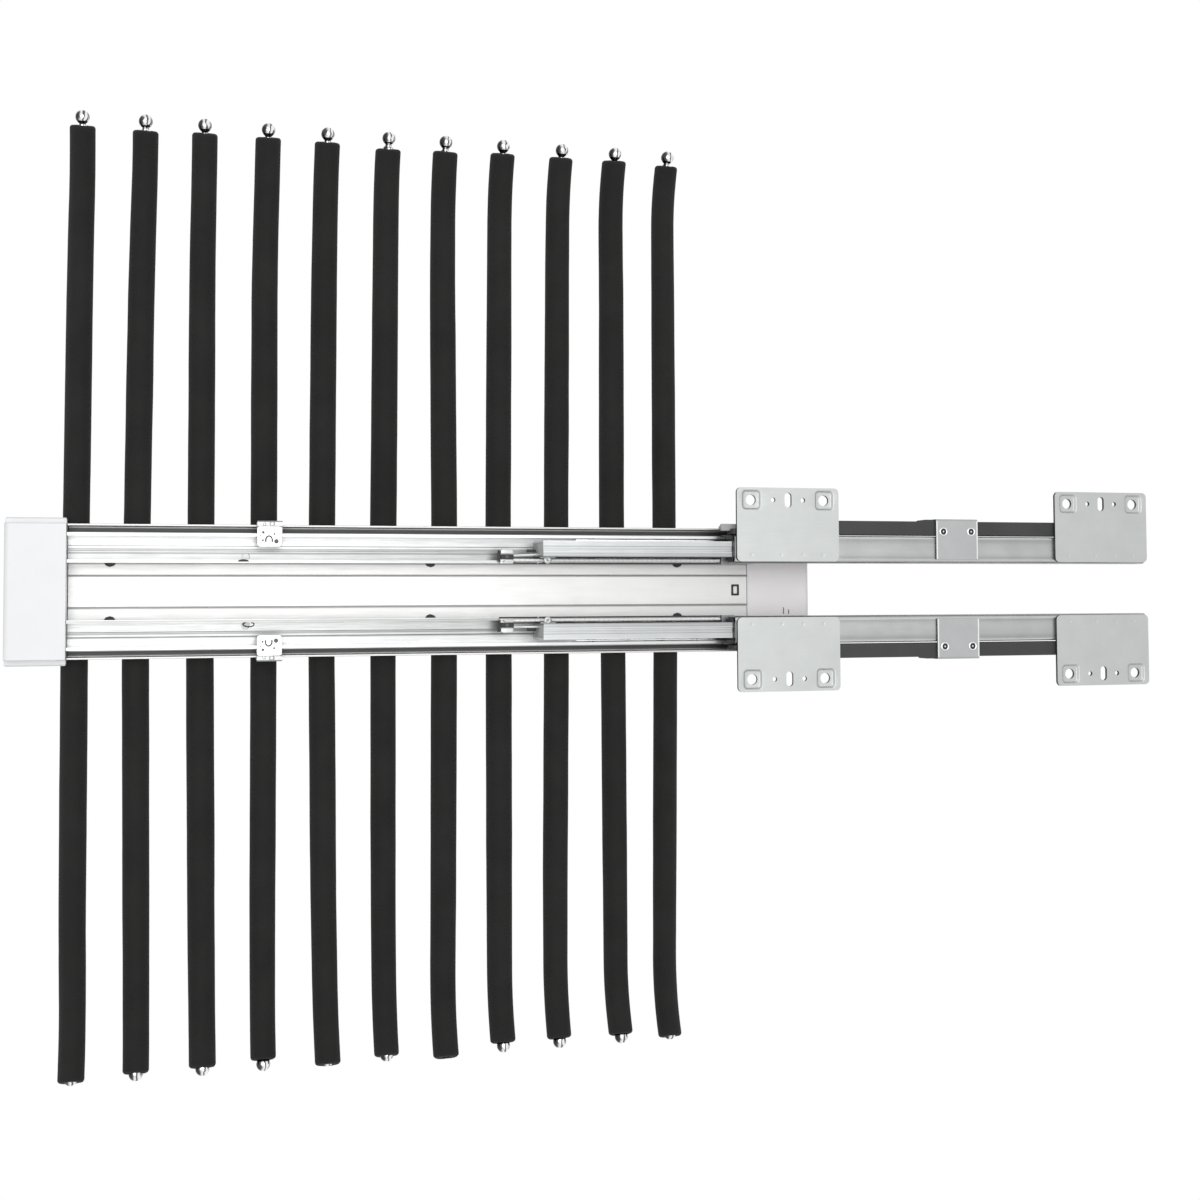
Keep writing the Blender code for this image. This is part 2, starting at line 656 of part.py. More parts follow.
def mounting_plate(name, sign, front, material):
    """Pressed plate: sunk pads round its screw holes, a slot, pilot holes and clinch marks."""
    bm = bmesh.new()
    rear = front + PLATE_LENGTH
    middle = front + PLATE_LENGTH / 2
    hole_line = sign * (PLATE_OUTER - SCREW_HOLE_EDGE)
    low_y, high_y = sorted((sign * PLATE_INNER, sign * PLATE_OUTER))
    field = add_rim(bm, rounded_box((front, low_y), (rear, high_y), PLATE_CORNER), 0)[1]
    for x in (front + SCREW_HOLE_END, rear - SCREW_HOLE_END):
        half = PAD_SIZE / 2
        floor_half = half - PAD_SLOPE
        brink = add_rim(bm, rounded_box((x - half, hole_line - half), (x + half, hole_line + half),
                                        PAD_CORNER, 2), 0)
        foot = add_rim(bm, rounded_box((x - floor_half, hole_line - floor_half),
                                       (x + floor_half, hole_line + floor_half),
                                       PAD_CORNER - PAD_SLOPE / 2, 2), -PAD_DEPTH)
        bridge(bm, brink[0], foot[0])
        hole = add_rim(bm, circle((x, hole_line), SCREW_HOLE_DIAMETER, HOLE_SIDES), -PAD_DEPTH)
        bmesh.ops.triangle_fill(bm, edges=foot[1] + hole[1], use_beauty=True)
        field += brink[1]
    slot_half = SLOT_LENGTH / 2
    slot = rounded_box((middle - SLOT_WIDTH / 2, hole_line - slot_half),
                       (middle + SLOT_WIDTH / 2, hole_line + slot_half), SLOT_WIDTH / 2 - SEAT_GAP)
    field += add_rim(bm, slot, 0)[1]
    for x in (middle - PILOT_HOLE_SPACING / 2, middle + PILOT_HOLE_SPACING / 2):
        field += add_rim(bm, circle((x, hole_line), PILOT_HOLE_DIAMETER, SMALL_HOLE_SIDES), 0)[1]
    for share in CLINCH_SHARES:
        centre = (front + share * PLATE_LENGTH, sign * (PLATE_INNER + CLINCH_EDGE))
        ring = add_rim(bm, circle(centre, CLINCH_DIAMETER, SMALL_HOLE_SIDES), 0)
        bottom = bm.verts.new((*centre, -CLINCH_DEPTH))
        for i, vert in enumerate(ring[0]):
            bm.faces.new((vert, ring[0][(i + 1) % len(ring[0])], bottom))
        field += ring[1]
    bmesh.ops.triangle_fill(bm, edges=field, use_beauty=True)
    bmesh.ops.recalc_face_normals(bm, faces=bm.faces)
    if sum(face.normal.z for face in bm.faces) < 0:
        bmesh.ops.reverse_faces(bm, faces=bm.faces)
    plate = place_mesh(name, sheet_mesh(name, bm, material))
    sheet = plate.modifiers.new("sheet", "SOLIDIFY")
    sheet.thickness = PLATE_THICKNESS
    sheet.offset = -1.0


def trigger_section(grow):
    """T-shaped section of a damper's trigger, or of its slot when grown."""
    middle = damper_middle()
    top = FIXED_TOP - TRIGGER_ROOF + grow
    shoulder = FIXED_TOP - TRIGGER_ROOF - TRIGGER_HEIGHT - grow
    bottom = FIXED_TOP - DAMPER_HEIGHT - (CUT_OVERRUN if grow else SEAT_GAP)
    half = TRIGGER_WIDTH / 2 + grow
    neck = TRIGGER_NECK / 2 + grow
    return [(middle - half, top), (middle + half, top), (middle + half, shoulder),
            (middle + neck, shoulder), (middle + neck, bottom), (middle - neck, bottom),
            (middle - neck, shoulder), (middle - half, shoulder)]


def damper_middle():
    """The damper's middle line, out from the rack's middle."""
    return (DAMPER_INNER + DAMPER_OUTER) / 2


def rivet_places(sign):
    """Middles of one bracket's rivets."""
    middle = BRACKET_FRONT + BRACKET_LENGTH / 2
    y = sign * damper_middle()
    return [(middle - RIVET_HOLE_SPACING / 2, y), (middle + RIVET_HOLE_SPACING / 2, y)]


def add_posts(sign, bottom, top, diameter):
    """Round posts at one bracket's rivets."""
    bm = bmesh.new()
    for place in rivet_places(sign):
        add_prism(bm, "Z", bottom, top, circle(place, diameter, SMALL_HOLE_SIDES))
    return bm


def damper_housing(side, sign, plastic):
    """Soft-close damper beside the fixed rail: a nose in front, a lug by the bracket."""
    front = RAIL_FRONT + DAMPER_SETBACK
    rear = front + DAMPER_LENGTH
    lug_rear = BRACKET_FRONT - SEAT_GAP
    lug_front = lug_rear - DAMPER_LUG_LENGTH
    lug_outer = DAMPER_OUTER + DAMPER_LUG_WIDTH
    nose = front - DAMPER_NOSE_LENGTH
    nose_outer = DAMPER_INNER + DAMPER_NOSE_WIDTH
    plan = [(nose, DAMPER_INNER), (rear, DAMPER_INNER), (rear, DAMPER_OUTER),
            (lug_rear, DAMPER_OUTER), (lug_rear, lug_outer), (lug_front, lug_outer),
            (lug_front, DAMPER_OUTER), (front, DAMPER_OUTER), (front, nose_outer),
            (nose, nose_outer)]
    housing = prism(f"damper_housing_{side}", plastic, "Z", FIXED_TOP - DAMPER_HEIGHT, FIXED_TOP,
                    across_plan(plan, sign))
    slot = bmesh.new()
    add_prism(slot, "X", nose - CUT_OVERRUN, front + TRIGGER_SLOT_LENGTH,
              across(trigger_section(SEAT_GAP), sign))
    cut(housing, make_cutter(f"trigger_slot_cutter_{side}", slot))
    holes = add_posts(sign, FIXED_TOP - RIVET_DEPTH - SEAT_GAP, CUT_OVERRUN,
                      RIVET_SHANK + 2 * SEAT_GAP)
    cut(housing, make_cutter(f"rivet_hole_cutter_{side}", holes))


def damper_trigger(side, sign, plastic, tripped):
    """Slider in the damper's slot, with a peg below that the rack's clip meets."""
    tip = RAIL_FRONT - TRIGGER_REACH
    if tripped:
        tip += TRIGGER_STROKE
    trigger = prism(f"damper_trigger_{side}", plastic, "X", tip, tip + TRIGGER_LENGTH,
                    across(trigger_section(0), sign))
    peg = bmesh.new()
    peg_front = tip + TRIGGER_PEG_SETBACK
    top = FIXED_TOP - DAMPER_HEIGHT - SEAT_GAP
    bottom = top - TRIGGER_PEG_DEPTH
    near, far = damper_middle() - TRIGGER_WIDTH / 2, damper_middle() + TRIGGER_WIDTH / 2
    low_y, high_y = sorted((sign * near, sign * far))
    add_prism(peg, "Y", low_y, high_y,
              [(peg_front, top), (peg_front, bottom),
               (peg_front + TRIGGER_PEG_LENGTH / 2, bottom), (peg_front + TRIGGER_PEG_LENGTH, top)])
    join(trigger, peg, f"trigger_peg_{side}")
    return trigger


def damper_bracket(side, sign, steel):
    """Bracket over rail and damper, turned down outside, with two hollow-headed rivets."""
    inner = RAIL_INNER + BRACKET_INSET
    outer = DAMPER_OUTER + SEAT_GAP + BRACKET_SHEET
    top = PLATE_BOTTOM + BRACKET_SHEET
    section = [(inner, PLATE_BOTTOM), (inner, top)]
    section += arc((outer - BRACKET_SHEET, top - BRACKET_SHEET), BRACKET_SHEET, 90, 0)
    section += [(outer, PLATE_BOTTOM - BRACKET_FLANGE),
                (outer - BRACKET_SHEET, PLATE_BOTTOM - BRACKET_FLANGE),
                (outer - BRACKET_SHEET, PLATE_BOTTOM)]
    bracket = prism(f"damper_bracket_{side}", steel, "X", BRACKET_FRONT,
                    BRACKET_FRONT + BRACKET_LENGTH, across(section, sign))
    head_top = top + RIVET_HEAD_HEIGHT
    join(bracket, add_posts(sign, FIXED_TOP - RIVET_DEPTH, top, RIVET_SHANK), f"rivet_shanks_{side}")
    join(bracket, add_posts(sign, top - WELD_DEPTH, head_top, RIVET_HEAD), f"rivet_heads_{side}")
    eyes = add_posts(sign, head_top - RIVET_EYE_DEPTH, head_top + CUT_OVERRUN, RIVET_EYE)
    cut(bracket, make_cutter(f"rivet_eye_cutter_{side}", eyes))


# Latches and their springs

def latch(side, sign, material):
    """Latch at the mid rail's front: head, hooked tip, guide arm and spring arm."""
    tip = LATCH_TIP
    head_rear = tip + LATCH_LENGTH
    inner = SPRING_Y - SPRING_DIAMETER / 2 + SEAT_GAP
    outer = inner + LATCH_WIDTH
    guide = MID_INNER + RAIL_SHEET + SEAT_GAP
    spring_arm = SPRING_Y + SPRING_DIAMETER / 2 - SEAT_GAP
    notch_from = (inner + outer - LATCH_NOTCH_WIDTH) / 2
    notch_to = notch_from + LATCH_NOTCH_WIDTH
    notch_end = tip + LATCH_NOTCH_DEPTH
    spring_end = MID_FRONT + SPRING_FRONT - SEAT_GAP
    plan = [(tip + LATCH_CHAMFER, inner), (spring_end, inner), (spring_end, spring_arm),
            (head_rear, spring_arm), (head_rear, guide), (MID_FRONT + LATCH_ARM_INSIDE, guide),
            (MID_FRONT + LATCH_ARM_INSIDE, guide + LATCH_ARM), (head_rear, guide + LATCH_ARM),
            (head_rear, outer), (tip + LATCH_CHAMFER, outer), (tip, outer - LATCH_CHAMFER),
            (tip, notch_to), (notch_end, notch_to), (notch_end, notch_from), (tip, notch_from),
            (tip, inner + LATCH_CHAMFER)]
    return prism(f"latch_{side}", material, "Z", LATCH_BOTTOM, LATCH_TOP, across_plan(plan, sign))


def spring_points(sign):
    """The spring's middle line: a straight lead, curls that open out and close in, a lead."""
    height = MOVING_TOP + SEAT_GAP + SPRING_DIAMETER / 2
    start = MID_FRONT + SPRING_FRONT
    end = start + SPRING_LENGTH - SEAT_GAP
    reach = (SPRING_DIAMETER - SPRING_WIRE) / 2
    lead = 2 * SPRING_WIRE
    count = SPRING_CURLS * CURL_POINTS
    points = [(start, sign * SPRING_Y, height), (start + SPRING_WIRE, sign * SPRING_Y, height)]
    for i in range(count + 1):
        turn = i / CURL_POINTS
        opening = min(1.0, turn, SPRING_CURLS - turn)
        radius = reach * math.sin(opening * math.pi / 2)
        x = start + lead + (end - start - 2 * lead) * i / count
        points.append((x, sign * (SPRING_Y + radius * math.cos(math.tau * turn)),
                       height + radius * math.sin(math.tau * turn)))
    points += [(end - SPRING_WIRE, sign * SPRING_Y, height), (end, sign * SPRING_Y, height)]
    return points


def least_self_gap(points, thickness, skip):
    """Least free distance between stretches of a wire that aren't next to each other."""
    least = math.inf
    for i, first in enumerate(points):
        for second in points[i + skip:]:
            least = min(least, math.dist(first, second))
    return least - thickness


def latch_spring(side, sign, steel):
    """Stretched spring from the latch back to its anchor, one unbroken wire."""
    points = spring_points(sign)
    if sign > 0:
        gap = least_self_gap(points, SPRING_WIRE, CURL_POINTS // 2)
        print(f"latch spring: {SPRING_CURLS} curls, least gap to itself {gap * 1000:.2f} mm")
    name = f"latch_spring_{side}"
    curve = bpy.data.curves.new(name, "CURVE")
    curve.dimensions = "3D"
    curve.bevel_depth = SPRING_WIRE / 2
    curve.bevel_resolution = 1
    curve.use_fill_caps = True
    spline = curve.splines.new("POLY")
    spline.points.add(len(points) - 1)
    for target, point in zip(spline.points, points):
        target.co = (*point, 1.0)
    curve.materials.append(steel)
    spring = bpy.data.objects.new(name, curve)
    bpy.context.collection.objects.link(spring)
    return spring


# Beam, caps, rods and sleeves

def beam(aluminium):
    """Extruded beam: tray for the moving rails above, closed box for the rods below."""
    wall_in = BEAM_HALF - BEAM_WALL
    half = [(GROOVE_OFFSET - GROOVE_WIDTH / 2, FLOOR_TOP),
            (GROOVE_OFFSET, FLOOR_TOP - GROOVE_DEPTH),
            (GROOVE_OFFSET + GROOVE_WIDTH / 2, FLOOR_TOP),
            (wall_in, FLOOR_TOP), (wall_in, BEAM_TOP), (BEAM_HALF, BEAM_TOP),
            (BEAM_HALF, BEAM_BOTTOM)]
    section = half + [(-y, z) for y, z in reversed(half)]
    inside = box_outline((-wall_in, BEAM_BOTTOM + BEAM_BASE), (wall_in, FLOOR_BOTTOM))
    made = prism("beam", aluminium, "X", BEAM_FRONT, BEAM_REAR, section, (inside,))

    floor_holes = bmesh.new()
    for share in ACCESS_HOLE_SHARES:
        for _, sign in SIDES:
            centre = (BEAM_FRONT + share * BEAM_LENGTH, sign * ACCESS_HOLE_OFFSET)
            add_prism(floor_holes, "Z", FLOOR_BOTTOM - CUT_OVERRUN, FLOOR_TOP + CUT_OVERRUN,
                      circle(centre, ACCESS_HOLE_DIAMETER, HOLE_SIDES))
    rear = BEAM_REAR - SNAP_WINDOW_SETBACK
    window = box_outline((rear - SNAP_WINDOW_LENGTH, -SNAP_WINDOW_WIDTH / 2),
                         (rear, SNAP_WINDOW_WIDTH / 2))
    add_prism(floor_holes, "Z", FLOOR_BOTTOM - CUT_OVERRUN, FLOOR_TOP + CUT_OVERRUN, window)
    cut(made, make_cutter("floor_hole_cutter", floor_holes))

    rod_holes = bmesh.new()
    for i in range(ROD_COUNT):
        centre = (FIRST_ROD + i * ROD_PITCH, ROD_HEIGHT)
        add_prism(rod_holes, "Y", -BEAM_HALF - CUT_OVERRUN, BEAM_HALF + CUT_OVERRUN,
                  circle(centre, ROD_DIAMETER + 2 * SEAT_GAP, HOLE_SIDES))
    cut(made, make_cutter("rod_hole_cutter", rod_holes))
    return made


def tongue_heights():
    """Lowest and highest level of the caps' tongues, which lie between rods and floor."""
    top = FLOOR_BOTTOM - SEAT_GAP
    return top - TONGUE_THICKNESS, top


def front_cap(plastic):
    """Hollow cap and pull on the beam's front end, with a grip rim along each side."""
    rear = BEAM_FRONT - SEAT_GAP
    front = rear - FRONT_CAP_LENGTH
    top = BEAM_TOP + FRONT_CAP_RISE
    bottom = BEAM_BOTTOM
    profile = (arc((front + CAP_ROUNDING, bottom + CAP_ROUNDING), CAP_ROUNDING, 270, 180)
               + arc((front + CAP_ROUNDING, top - CAP_ROUNDING), CAP_ROUNDING, 180, 90)
               + [(rear, top), (rear, bottom)])
    cap = prism("front_cap", plastic, "Y", -BEAM_HALF, BEAM_HALF, profile)
    hollow = bmesh.new()
    add_prism(hollow, "Y", -BEAM_HALF + CAP_WALL, BEAM_HALF - CAP_WALL,
              box_outline((front + CAP_WALL, bottom + CAP_WALL), (rear + CUT_OVERRUN, top - CAP_WALL)))
    cut(cap, make_cutter("front_cap_hollow", hollow))

    sleeve_top = ROD_HEIGHT + SLEEVE_DIAMETER / 2
    rim_bottom = sleeve_top + 2 * SEAT_GAP
    rims = bmesh.new()
    for _, sign in SIDES:
        low_y, high_y = sorted((sign * (BEAM_HALF - CAP_WALL / 2), sign * (BEAM_HALF + GRIP_RIM_WIDTH)))
        add_prism(rims, "Z", rim_bottom, rim_bottom + GRIP_RIM_HEIGHT,
                  box_outline((front + CAP_ROUNDING / 2, low_y), (rear - SEAT_GAP, high_y)))
    join(cap, rims, "front_cap_rims")

    low, high = tongue_heights()
    tongues = bmesh.new()
    start = front + CAP_WALL / 2
    for _, sign in SIDES:
        low_y = sign * TONGUE_OFFSET - TONGUE_WIDTH / 2
        add_prism(tongues, "Z", low, high,
                  box_outline((start, low_y), (BEAM_FRONT + TONGUE_LENGTH, low_y + TONGUE_WIDTH)))
    join(cap, tongues, "front_cap_tongues")
    return cap


def rear_cap(plastic):
    """Hollow cap on the beam's rear end, low enough to pass under the slides.

    A snap tongue in the beam's window holds it.
    """
    front = BEAM_REAR + SEAT_GAP
    rear = front + REAR_CAP_LENGTH
    profile = ([(front, BEAM_BOTTOM), (front, FLOOR_TOP)]
               + arc((rear - CAP_ROUNDING, FLOOR_TOP - CAP_ROUNDING), CAP_ROUNDING, 90, 0)
               + arc((rear - CAP_ROUNDING, BEAM_BOTTOM + CAP_ROUNDING), CAP_ROUNDING, 0, -90))
    cap = prism("rear_cap", plastic, "Y", -BEAM_HALF, BEAM_HALF, profile)
    hollow = bmesh.new()
    add_prism(hollow, "Y", -BEAM_HALF + CAP_WALL, BEAM_HALF - CAP_WALL,
              box_outline((front - CUT_OVERRUN, BEAM_BOTTOM + CAP_WALL),
                          (rear - CAP_WALL, FLOOR_TOP - CAP_WALL)))
    cut(cap, make_cutter("rear_cap_hollow", hollow))

    low, high = tongue_heights()
    tongue = bmesh.new()
    nub_rear = BEAM_REAR - SNAP_WINDOW_SETBACK - SEAT_GAP
    nub_front = nub_rear - SNAP_WINDOW_LENGTH + 4 * SEAT_GAP
    profile = [(nub_front, low), (rear - CAP_WALL / 2, low), (rear - CAP_WALL / 2, high),
               (nub_rear, high), (nub_front, high)]
    add_prism(tongue, "Y", -SNAP_TONGUE_WIDTH / 2, SNAP_TONGUE_WIDTH / 2, profile)
    join(cap, tongue, "rear_cap_tongue")
    nub = bmesh.new()
    nub_half = SNAP_WINDOW_WIDTH / 2 - 2 * SEAT_GAP
    add_prism(nub, "Y", -nub_half, nub_half,
              [(nub_front, low + TONGUE_THICKNESS / 2), (nub_rear, low + TONGUE_THICKNESS / 2),
               (nub_rear, FLOOR_TOP), (nub_front, FLOOR_TOP - BEAM_FLOOR / 2)])
    join(cap, nub, "rear_cap_nub")
    return cap


def bend_places():
    """Places along an arm's turned-up stretch, which rods and sleeves share."""
    return [ARM_STRAIGHT + TIP_BEND_LENGTH * i / TIP_BEND_STEPS for i in range(TIP_BEND_STEPS)]


def turn_up_tips(bm):
    """Bend what lies along Y beyond an arm's straight stretch up on an arc."""
    for vert in bm.verts:
        beyond = abs(vert.co.y) - ARM_STRAIGHT
        if beyond <= 0:
            continue
        angle = beyond / TIP_BEND_RADIUS
        radius = TIP_BEND_RADIUS - vert.co.z
        vert.co.y = math.copysign(ARM_STRAIGHT + radius * math.sin(angle), vert.co.y)
        vert.co.z = TIP_BEND_RADIUS - radius * math.cos(angle)


def rod_mesh(chrome):
    """Steel rod about its own middle, with turned-up ends and a ball on a neck at each."""
    half = ROD_LENGTH / 2
    ball_radius = END_BALL_DIAMETER / 2
    ball_middle = half - ball_radius
    neck_radius = NECK_DIAMETER / 2
    neck_share = math.asin(neck_radius / ball_radius) / math.pi
    ball_start = ball_middle - math.sqrt(ball_radius ** 2 - neck_radius ** 2)
    shoulder = ball_start - NECK_LENGTH
    outer = [(place, ROD_DIAMETER / 2) for place in bend_places()]
    outer += [(shoulder, ROD_DIAMETER / 2), (shoulder, neck_radius), (ball_start, neck_radius)]
    outer += half_ball(ball_middle, ball_radius, neck_share, END_BALL_RINGS, 1)
    profile = [(-place, radius) for place, radius in reversed(outer)] + outer
    bm = bmesh.new()
    add_turned(bm, profile, ROD_SIDES)
    turn_up_tips(bm)
    return solid_mesh("hanger_rod", bm, chrome)


def sleeve_mesh(name, foam, reach):
    """Foam tube along one arm, from the rod's middle as its origin.

    The reach is how far it goes over the end ball, for which the bore widens.
    """
    start = BEAM_HALF + SEAT_GAP
    end = ARM_END + reach
    radius = SLEEVE_DIAMETER / 2
    bore = ROD_DIAMETER / 2 + SEAT_GAP
    profile = [(start, bore), (start, radius)]
    profile += [(place, radius) for place in bend_places()]
    profile += [(end - SLEEVE_CHAMFER, radius), (end, radius - SLEEVE_CHAMFER)]
    bore_end = end
    if reach > 0:
        mouth = END_BALL_DIAMETER / 2 + SEAT_GAP
        bore_end = end - SLEEVE_MOUTH_DEPTH
        profile += [(end, mouth), (bore_end, mouth)]
    profile += [(bore_end, bore)]
    profile += [(place, bore) for place in reversed(bend_places())]
    bm = bmesh.new()
    rings = add_turned(bm, profile, SLEEVE_SIDES)
    bridge(bm, rings[-1], rings[0])
    turn_up_tips(bm)
    return solid_mesh(name, bm, foam)


def hangers(chrome, foam):
    """All rods and the two sleeves of each, as copies of one rod and of one sleeve a side."""
    rod = rod_mesh(chrome)
    sleeves = {"left": sleeve_mesh("foam_sleeve_left", foam, -LEFT_SLEEVE_GAP),
               "right": sleeve_mesh("foam_sleeve_right", foam, RIGHT_SLEEVE_LAP)}
    made = []
    for i in range(ROD_COUNT):
        place = (FIRST_ROD + i * ROD_PITCH, 0.0, ROD_HEIGHT)
        made.append(place_mesh(f"hanger_rod_{i + 1:02d}", rod, place))
        for side, sign in SIDES:
            arm = place_mesh(f"foam_sleeve_{side}_{i + 1:02d}", sleeves[side], place)
            if sign < 0:
                arm.rotation_euler.z = math.pi
            made.append(arm)
    return made


def main():
    clear_scene()
    aluminium = make_material("aluminium", (0.90, 0.90, 0.89), 0.35, 1.0)
    galvanised = make_material("galvanised", (0.74, 0.76, 0.77), 0.38, 1.0)
    plate_steel = make_material("plate_steel", (0.66, 0.68, 0.68), 0.45, 1.0)
    bright_steel = make_material("bright_steel", (0.85, 0.86, 0.87), 0.22, 1.0)
    chrome = make_material("chrome", (0.80, 0.81, 0.82), 0.10, 1.0)
    foam = make_material("foam", (0.022, 0.022, 0.020), 0.90, 0.0)
    white_plastic = make_material("white_plastic", (0.88, 0.89, 0.91), 0.40, 0.0)
    grey_plastic = make_material("grey_plastic", (0.62, 0.59, 0.60), 0.45, 0.0)
    dark_plastic = make_material("dark_plastic", (0.07, 0.07, 0.075), 0.55, 0.0)

    rack = [beam(aluminium), front_cap(white_plastic), rear_cap(grey_plastic)]
    rack += hangers(chrome, foam)
    for side, sign in SIDES:
        fixed_rail(side, sign, galvanised)
        mounting_plate(f"mounting_plate_front_{side}", sign, FRONT_PLATE_FRONT, plate_steel)
        mounting_plate(f"mounting_plate_rear_{side}", sign, REAR_PLATE_FRONT, plate_steel)
        damper_housing(side, sign, dark_plastic)
        damper_bracket(side, sign, plate_steel)
        trigger = damper_trigger(side, sign, white_plastic, tripped=side == "right")
        carry(f"trigger_axis_{side}", (RAIL_FRONT, sign * damper_middle(), FIXED_TOP), [trigger])

        rack.append(moving_rail(side, sign, galvanised))
        centre = sign * RAIL_CENTRE
        middle_height = (MID_TOP + MID_BOTTOM) / 2
        mid_pieces = [mid_rail(side, sign, galvanised), latch_spring(side, sign, bright_steel)]
        carry(f"mid_axis_{side}", (MID_FRONT, centre, middle_height), mid_pieces)
        latch_piece = latch(side, sign, bright_steel)
        carry(f"latch_axis_{side}", (MID_FRONT, sign * SPRING_Y, LATCH_BOTTOM), [latch_piece])

        upper_middle = (RAIL_FRONT + MID_REAR) / 2
        upper = ball_cage(f"ball_cage_upper_{side}", sign, UPPER_CAGE_TOP, -1, UPPER_BALL_HEIGHT,
                          upper_middle, bright_steel)
        carry(f"upper_cage_axis_{side}", (upper_middle, centre, UPPER_BALL_HEIGHT), [upper])
        lower_middle = (MID_FRONT + BEAM_REAR) / 2
        lower = ball_cage(f"ball_cage_lower_{side}", sign, LOWER_CAGE_BOTTOM, 1, LOWER_BALL_HEIGHT,
                          lower_middle, bright_steel)
        carry(f"lower_cage_axis_{side}", (lower_middle, centre, LOWER_BALL_HEIGHT), [lower])
    carry("rack_axis", (BEAM_FRONT, 0.0, FLOOR_TOP), rack)


main()
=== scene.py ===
"""Looks of the telescopic hanger rack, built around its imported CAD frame.

All places are in metres in the frame's own axes: +X to the rear, +Y to the
left, +Z up, with the shelf's underside at height zero. Tables whose names end
in MM are in millimetres. Pieces that come in pairs are drawn for the left
side, and a sign of 1 or -1 puts them on the left or the right.
"""

import math

import bmesh
import bpy
from mathutils import Matrix, Vector, noise


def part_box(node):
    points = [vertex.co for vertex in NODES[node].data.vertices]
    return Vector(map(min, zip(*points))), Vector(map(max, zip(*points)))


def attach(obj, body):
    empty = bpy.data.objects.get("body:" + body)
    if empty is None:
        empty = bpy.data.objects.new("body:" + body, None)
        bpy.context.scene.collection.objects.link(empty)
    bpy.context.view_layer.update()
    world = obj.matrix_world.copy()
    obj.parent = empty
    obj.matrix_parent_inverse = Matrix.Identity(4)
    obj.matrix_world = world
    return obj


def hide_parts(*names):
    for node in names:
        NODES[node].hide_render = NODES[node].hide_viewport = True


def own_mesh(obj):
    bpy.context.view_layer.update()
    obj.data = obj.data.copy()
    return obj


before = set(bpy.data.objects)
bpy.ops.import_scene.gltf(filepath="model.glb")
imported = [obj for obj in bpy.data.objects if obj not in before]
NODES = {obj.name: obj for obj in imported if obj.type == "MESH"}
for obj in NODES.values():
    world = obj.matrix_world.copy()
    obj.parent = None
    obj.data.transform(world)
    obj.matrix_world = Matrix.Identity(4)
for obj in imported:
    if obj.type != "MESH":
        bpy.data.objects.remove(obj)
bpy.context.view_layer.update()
SIDES = (("left", 1), ("right", -1))
MM = 0.001

# Camera, as the photograph's perspective says
CAMERA_PLACE = (-0.4792, -0.0088, 0.9330)
CAMERA_TURN = (2.48, -14.88, -0.285)   # degrees about X, Y and Z
SENSOR = 36.0
LENS = 48.0
SHIFT_DOWN = 0.0541
NEAREST_SEEN = 0.05

# Stage and light
FLOOR_SIZE = 12.0
FLOOR_HEIGHT = -0.35   # far enough below to keep only a faint shadow
FLOOR_COLOUR = (0.9, 0.9, 0.9, 1.0)
ROOM_LIGHT = 0.6
KEY_PLACE = (-0.5, 0.2, 1.4)
KEY_AIM = (-0.2, 0.0, 0.0)
KEY_SIZE = 1.4
KEY_POWER = 12.0

# Rods and sleeves, as the CAD source has them
ROD_COUNT = 11
ROD_PITCH = 0.0357
ROD_HEIGHT = -0.040
ROD_RADIUS = 0.003
ROD_HALF = 0.2806
BALL_RADIUS = 0.004
NECK_RADIUS = 0.0019
NECK_LENGTH = 0.0015
ARM_STRAIGHT = 0.228
TIP_BEND_RADIUS = 0.100
BEAM_HALF = 0.0388
SLEEVE_START = 0.0391
SLEEVE_RADIUS = 0.0075
BORE_RADIUS = 0.0033
BALL_MIDDLE = ROD_HALF - BALL_RADIUS
BALL_BACK = BALL_MIDDLE - BALL_RADIUS
BALL_START = BALL_MIDDLE - math.sqrt(BALL_RADIUS ** 2 - NECK_RADIUS ** 2)
SHOULDER = BALL_START - NECK_LENGTH
FIRST_ROD = sum(corner.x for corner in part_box("hanger_rod_01")) / 2

# How each arm lies: sideways shift, drift along 100 mm, bend at the tip, foam's end along the
# arm, and last, not in millimetres, foam's width as a share of the sleeve's
ARMS_MM = {
    "left": (
        (0.0, 0.55, 0.7, 271.8, 0.98), (-1.8, 1.00, 1.0, 271.3, 1.0),
        (-1.2, -0.11, 0.95, 272.2, 1.01), (-0.6, -0.10, 1.4, 272.2, 1.02),
        (-2.0, 0.58, 0.55, 271.8, 1.03), (-0.8, 0.71, 0.05, 270.2, 1.05),
        (0.8, -0.63, 0.85, 271.0, 1.04), (-1.2, 0.66, 0.0, 272.2, 1.03),
        (0.0, 0.80, 0.05, 272.2, 1.01), (0.2, 0.38, -0.5, 272.4, 1.04),
        (-0.8, 0.08, 0.0, 271.3, 0.98)),
    "right": (
        (-0.5, 0.11, 0.7, 278.9, 1.0), (-2.2, 0.86, 0.05, 276.4, 1.0),
        (-1.5, 0.97, 0.25, 276.0, 1.04), (-0.5, -0.06, 0.35, 274.2, 1.0),
        (-2.0, 0.93, 0.8, 279.9, 1.02), (-0.9, 0.07, 0.7, 277.5, 1.0),
        (0.6, -0.37, -0.2, 281.0, 1.04), (-1.0, -0.01, 0.1, 274.9, 1.05),
        (-0.1, -0.95, 0.6, 274.9, 1.02), (0.8, 0.34, -0.1, 275.3, 1.02),
        (-0.5, -1.01, 0.0, 278.8, 0.99)),
}
DRIFT_START, DRIFT_SPAN = 0.04, 0.1
TIP_START, TIP_SPAN = 0.17, 0.1
EASED_FROM = 0.100   # from here outward a rod lies on its arm's own line

